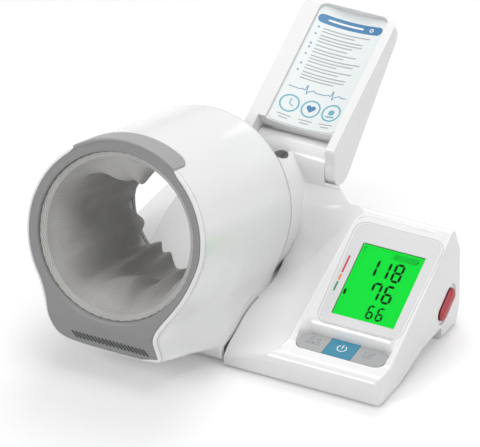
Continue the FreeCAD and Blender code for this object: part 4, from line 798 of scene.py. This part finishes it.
def lcd_figures():
    """Reading in three rows, a clock, a battery, a user mark and a level mark, under the lens."""
    marks = Print()
    for low, box, stroke, row in LCD_ROWS:
        for figure, left in row:
            digit(marks, figure, (left, low), box, stroke)
    for low in (97.4, 99.4):
        marks.tile(-36.2, -35.5, low, low + 0.7, 0.1)
    marks.line(rounded_outline(-27.0, -18.2, 96.6, 100.9, 1.2), 0.6, closed=True)
    marks.tile(-18.0, -17.2, 98.0, 99.5, 0.2)
    for left in (-23.6, -21.4):
        marks.tile(left, left + 1.2, 98.0, 99.5, 0.2)
    marks.tile(-68.4, -66.2, 54.2, 59.3, 0.3).tile(-67.6, -66.6, 99.9, 101.6, 0.3)
    marks.line([(-67.9, 97.6), (-67.1, 99.2), (-66.3, 97.6)], 0.4)
    marks.lay("lcd_figures", flat(on_panel, LCD_DEPTH), "base", "inner_plastic", INK, LCD_MARK_T)


def level_scale():
    """Three bars beside the display: high, raised and normal."""
    for name, low, high, paint in LEVELS:
        bar = Print().tile(-77.1, -75.4, low, high, 0.5, 4)
        bar.lay(name, flat(on_panel, MARK_LIFT), "base", "overlay_grey", paint)


def overlay_edge():
    """Fine line round the display's film: a rounded box that widens up the slope."""
    path = rounded_outline(-OVERLAY_HALF_W, OVERLAY_HALF_W, OVERLAY_LOW, OVERLAY_HIGH, 10.0)
    rise = (path[:, 1] - 24) / 99
    path[:, 0] = OVERLAY_MID + path[:, 0] * (1 + OVERLAY_WIDEN * rise)
    edge = Print().line(path, 0.45, closed=True)
    edge.lay("overlay_edge", flat(on_panel, 0.06), "base", "overlay_grey", LINE_GREY)


def key_icons():
    """Power ring on the middle key, two people on the left key and a notepad on the right one."""
    surface = flat(on_strip, MARK_LIFT)
    power = Print().ring((-48.5, 12.6), 3.9, 0.75, -240, 60).line([(-48.5, 12.4), (-48.5, 17.4)], 0.75)
    power.lay("power_icon", surface, "start_key", "blue_key", PRINT_WHITE)
    users = Print()
    for middle, low in ((-77.0, 9.6), (-71.0, 9.0)):
        users.ring((middle, low + 6.6), 1.5, 0.5, steps=20)
        users.ring((middle, low), 3.0, 0.5, 0, 180, 20).line([(middle - 3.2, low), (middle + 3.2, low)], 0.5)
    users.lay("user_icon", surface, "user_key", "grey_key", PRINT_GREY)
    page = Print().line([(-20.6, 12.6), (-20.6, 8.4), (-28.0, 8.4), (-28.0, 15.8), (-23.4, 15.8)], 0.55)
    page.line([(-24.6, 11.8), (-19.6, 16.9)], 1.1).line([(-26.4, 10.6), (-22.4, 10.6)], 0.45)
    page.lay("notepad_icon", surface, "memory_key", "grey_key", PRINT_GREY)


def stop_cap():
    """Lens shaped button: obround outlines drawn in as they rise, the height following a
    quarter ellipse of the inset."""
    outline = rounded_outline(-STOP_HALF_L, STOP_HALF_L, -STOP_HALF_W, STOP_HALF_W, STOP_HALF_W - 0.05, 12)
    profile = [(0.9, -4.6), (0.9, -STOP_FOOT), (0.0, STOP_FOOT)]
    profile += [(STOP_HALF_W * (1 - math.cos(t)) * 0.98, STOP_FOOT + STOP_RISE * math.sin(t))
                for t in np.radians(np.linspace(0, 84, 12))]
    points, faces = stacked(outline, profile)
    c, s = math.cos(math.radians(STOP_ANGLE)), math.sin(math.radians(STOP_ANGLE))
    turned = points[:, :2] @ np.array([[c, s], [-s, c]])
    spots = np.column_stack([points[:, 2], turned]) + STOP
    make_mesh("stop_cap", spots, faces, "stop_button", RED, replaces=["stop_button"])


def bead_path():
    """Left side, round corner and top edge of the display's bead, in the base's plan."""
    turn = np.radians(np.linspace(180, 90, 12))[:, None]
    side = np.linspace((-94.6, 9.0), (-85.4, 123.5), 60)
    corner = np.array([-76.4, 124.4]) + 9.0 * np.hstack([np.cos(turn), np.sin(turn)])
    top = np.linspace((-74.0, 133.4), (-8.0, 134.0), 30)
    return np.concatenate([side, corner[1:], top])


def pod_rim(columns=13):
    """Low bead round the display, whose cross section is one arch of a cosine that fades at
    both ends of the path."""
    path = bead_path()
    chord = np.gradient(path, axis=0)
    chord /= np.linalg.norm(chord, axis=1)[:, None]
    out = np.stack([-chord[:, 1], chord[:, 0]], -1)
    length = np.concatenate([[0], np.cumsum(np.linalg.norm(np.diff(path, axis=0), axis=1))])
    rise, end = BEAD_FADES
    fade = ease(length, 0, rise) * (1 - ease(length, length[-1] - end, length[-1]))
    across = np.linspace(-1, 1, columns)
    plan = path[:, None] + out[:, None] * (across * BEAD_HALF_W)[None, :, None]
    foot, level = SLOPE_FOOT
    height = level + np.maximum(0, plan[..., 1] - foot) * math.tan(math.radians(SLOPE))
    lift = (np.cos(across * np.pi) + 1) / 2 * BEAD_H * fade[:, None] - BEAD_SINK
    upper = np.dstack([plan + (BASE_RIGHT, BASE_FRONT), height + lift])
    lower = upper - (0, 0, BEAD_T)
    rings = np.concatenate([upper, lower[:, ::-1]], 1)
    make_mesh("pod_rim", rings.reshape(-1, 3), tube_faces(*rings.shape[:2]), "base", WHITE)


# --- card in the lid ------------------------------------------------------------------------
# Points are across from the card's middle, and up the lid from its hinge.
CARD_HALF_W = 32.0
CARD_TOP = 0.86            # depth of the trough that the card and its print fill
BANNER_Y = 119.5
TEXT_Y = 110.4
ROW_H = 3.05
GROUP_GAP = 0.9
GROUPS = (2, 3, 1, 2, 3, 2, 3)     # lines in each group of text
PULSE_Y = 48.5
# Bumps of one heart beat, at two places: where, how wide and how high.
BEATS = ((-15.0, 1.3, 1.2), (-11.5, 0.6, 6.0), (-9.9, 0.7, -3.0), (-5.0, 1.8, 1.6),
         (9.0, 1.3, 1.2), (12.5, 0.6, 6.0), (14.1, 0.7, -3.0), (19.0, 1.8, 1.6))
PICTURES = (-19.5, 0.0, 19.5)      # middles of the round pictures
PICTURE_Y = 32.5
TITLE_LIFT = (0.0, -0.03, 0.05)    # the title's height over the banner


def on_card(points):
    """Curved card: an arc across the trough, straight along it."""
    sag = TROUGH_R - math.sqrt(TROUGH_R ** 2 - CARD_HALF_W ** 2)
    height = CARD_RIM + TROUGH_R - sag - np.sqrt((TROUGH_R - CARD_TOP) ** 2 - points[:, 0] ** 2)
    return on_lid(np.column_stack([points + (CARD_MID, 0), height]))


def on_banner(points):
    """The card's surface, raised by the height of the banner's print."""
    return on_card(points) + TITLE_LIFT


def card_head():
    """Banner across the top, with a pale bar and a small ring on it."""
    Print().bar(-30.0, 30.0, BANNER_Y, 8.6, 40).lay("card_banner", on_card, "lid", "card_white", PRINT_BLUE)
    title = Print().bar(-21.0, 12.0, BANNER_Y, 1.9).ring((19.5, BANNER_Y), 1.5, 0.9, steps=20)
    title.lay("card_title", on_banner, "lid", "card_white", PRINT_WHITE)


def card_text():
    """Groups of grey bars for lines of text, each group with a dot, two bars under each
    picture, and a pulse line: flat, with a bell for each bump of the beat."""
    text = Print()
    dots = Print()
    row = 0
    for group, lines in enumerate(GROUPS):
        dots.ring((-26.0, TEXT_Y - row * ROW_H - group * GROUP_GAP), 0.55, 0.7, steps=12)
        for line in range(lines):
            end = 25.0 - 7.0 * abs(math.sin(row * 2.3 + 0.4)) - 13.0 * (line == lines - 1)
            text.bar(-22.0, end, TEXT_Y - row * ROW_H - group * GROUP_GAP, 1.15)
            row += 1
    for middle in PICTURES:
        for width, low in ((13.0, 20.4), (8.5, 17.6)):
            text.bar(middle - width / 2, middle + width / 2, low, 1.0)
    text.lay("card_text", on_card, "lid", "card_white", LINE_GREY)
    across = np.linspace(-27, 27, 160)
    beat = sum(height * bell(across, spot, width) for spot, width, height in BEATS)
    dots.line(np.column_stack([across, beat + PULSE_Y]), 0.7)
    dots.lay("card_pulse", on_card, "lid", "card_white", PRINT_BLUE)


def card_pictures():
    """Three round pictures: clock hands, a heart and two bars."""
    shapes = Print()
    clock, heart_x, bars = PICTURES
    for middle in PICTURES:
        shapes.ring((middle, PICTURE_Y), 8.0, 1.5)
    shapes.line([(clock, 37.5), (clock, PICTURE_Y), (clock + 3.9, 30.4)], 1.1)
    shapes.bar(bars - 4.3, bars + 4.3, 28.6, 1.4).bar(bars - 2.9, bars + 2.9, 33.0, 5.4)
    shapes.lay("card_rings", on_card, "lid", "card_white", PRINT_TEAL)
    turn = np.linspace(0, 2 * np.pi, 48, endpoint=False)
    height = 13 * np.cos(turn) - 5 * np.cos(2 * turn) - 2 * np.cos(3 * turn) - np.cos(4 * turn)
    heart = np.column_stack([16 * np.sin(turn) ** 3, height]) * 0.26 + (heart_x, 32.8)
    Print().area(heart).lay("card_heart", on_card, "lid", "card_white", PRINT_BLUE)


lcd_figures()
card_head()
card_text()
card_pictures()
level_scale()
overlay_edge()
key_icons()
stop_cap()
pod_rim()


# --- camera, light and floor ---------------------------------------------------------------
AZIMUTH = 27.0             # the camera's turn to the right of straight in front, in degrees
ELEVATION = 31.3           # how far down it looks, in degrees
FOCAL = 450.0              # a long lens from far off, close to a parallel view
SENSOR_W = 36.0
DISTANCE = 4920.0          # in millimetres
CORNER = (BASE_RIGHT, BASE_FRONT, 0.0)
AIM_RIGHT = -114.39        # the view's middle, along its right and up directions, from CORNER
AIM_UP = 152.11
WORLD_LIGHT = 0.4
CENTRE = (-0.05, 0.05, 0.08)       # where most lamps point, in metres
# Softboxes: name, place and aim in metres, side and power.
SOFTBOXES = (
    ("key", (-0.3, 0.85, 1.4), CENTRE, 0.8, 9.0),
    ("top", (0.25, -0.1, 1.9), CENTRE, 1.3, 11.0),
    ("front", (-0.75, -1.2, 1.0), (-0.15, 0.0, 0.1), 0.5, 6.5),
    ("fill", (1.4, -0.2, 0.7), CENTRE, 1.0, 4.0))
FLOOR_HALF = 4.0           # half its side, in metres
FLOOR_GLOW = (0.12, 0.12, 0.12)


def set_camera():
    """Camera on the axis that looks down by ELEVATION and turned by AZIMUTH from +Y."""
    a, e = math.radians(AZIMUTH), math.radians(ELEVATION)
    right = Vector((math.cos(a), math.sin(a), 0))
    up = Vector((-math.sin(a) * math.sin(e), math.cos(a) * math.sin(e), math.cos(e)))
    ahead = Vector((-math.sin(a) * math.cos(e), math.cos(a) * math.cos(e), -math.sin(e)))
    spot = Vector(CORNER) + right * AIM_RIGHT + up * AIM_UP - ahead * DISTANCE
    lens = bpy.data.cameras.new("camera")
    lens.lens = FOCAL
    lens.sensor_width = SENSOR_W
    lens.clip_start, lens.clip_end = 0.1, 50.0
    camera = bpy.data.objects.new("camera", lens)
    bpy.context.scene.collection.objects.link(camera)
    camera.matrix_world = Matrix((
        (right.x, up.x, -ahead.x, spot.x * MM), (right.y, up.y, -ahead.y, spot.y * MM),
        (right.z, up.z, -ahead.z, spot.z * MM), (0, 0, 0, 1)))
    bpy.context.scene.camera = camera


def softbox(name, place, aim, size, power):
    """Square area light at a place, pointing at another."""
    light = bpy.data.lights.new(name, "AREA")
    light.size = size
    light.energy = power
    lamp = bpy.data.objects.new(name, light)
    bpy.context.scene.collection.objects.link(lamp)
    lamp.location = place
    lamp.rotation_euler = (Vector(aim) - Vector(place)).to_track_quat("-Z", "Y").to_euler()


def set_world():
    """Even white light from all round, which the camera and reflections see as a pale backdrop."""
    world = bpy.data.worlds.new("studio")
    bpy.context.scene.world = world
    world.use_nodes = True
    nodes = Nodes(world.node_tree)
    light = nodes.tree.nodes["Background"]
    nodes.put(light.inputs["Color"], (1, 1, 1, 1))
    nodes.put(light.inputs["Strength"], WORLD_LIGHT)
    backdrop = nodes.node("ShaderNodeBackground", None, {"Strength": 1.0})
    choice = nodes.node("ShaderNodeMixShader", None, {
        0: nodes.seen_rays(), 1: Node(nodes, light).value(), 2: backdrop.value()})
    nodes.put(nodes.tree.nodes["World Output"].inputs[0], choice.value())


def make_floor():
    """Pale floor that shows lighter to the camera, so that it reads as white round a soft shadow."""
    mesh = bpy.data.meshes.new("floor")
    corners = [(x * FLOOR_HALF, y * FLOOR_HALF, 0) for x, y in ((-1, -1), (1, -1), (1, 1), (-1, 1))]
    mesh.from_pydata(corners, [], [(0, 1, 2, 3)])
    floor = bpy.data.objects.new("floor", mesh)
    bpy.context.scene.collection.objects.link(floor)
    paint = Paint("floor_paint", (0.85, 0.85, 0.86), 0.6, Emission_Strength=1.0)
    paint.feed(**{"Emission Color": paint.mix(paint.seen_rays(), (0, 0, 0), FLOOR_GLOW)})
    mesh.materials.append(paint.material)


set_camera()
set_world()
for box in SOFTBOXES:
    softbox(*box)
make_floor()
scene = bpy.context.scene
scene.view_settings.view_transform = "Standard"
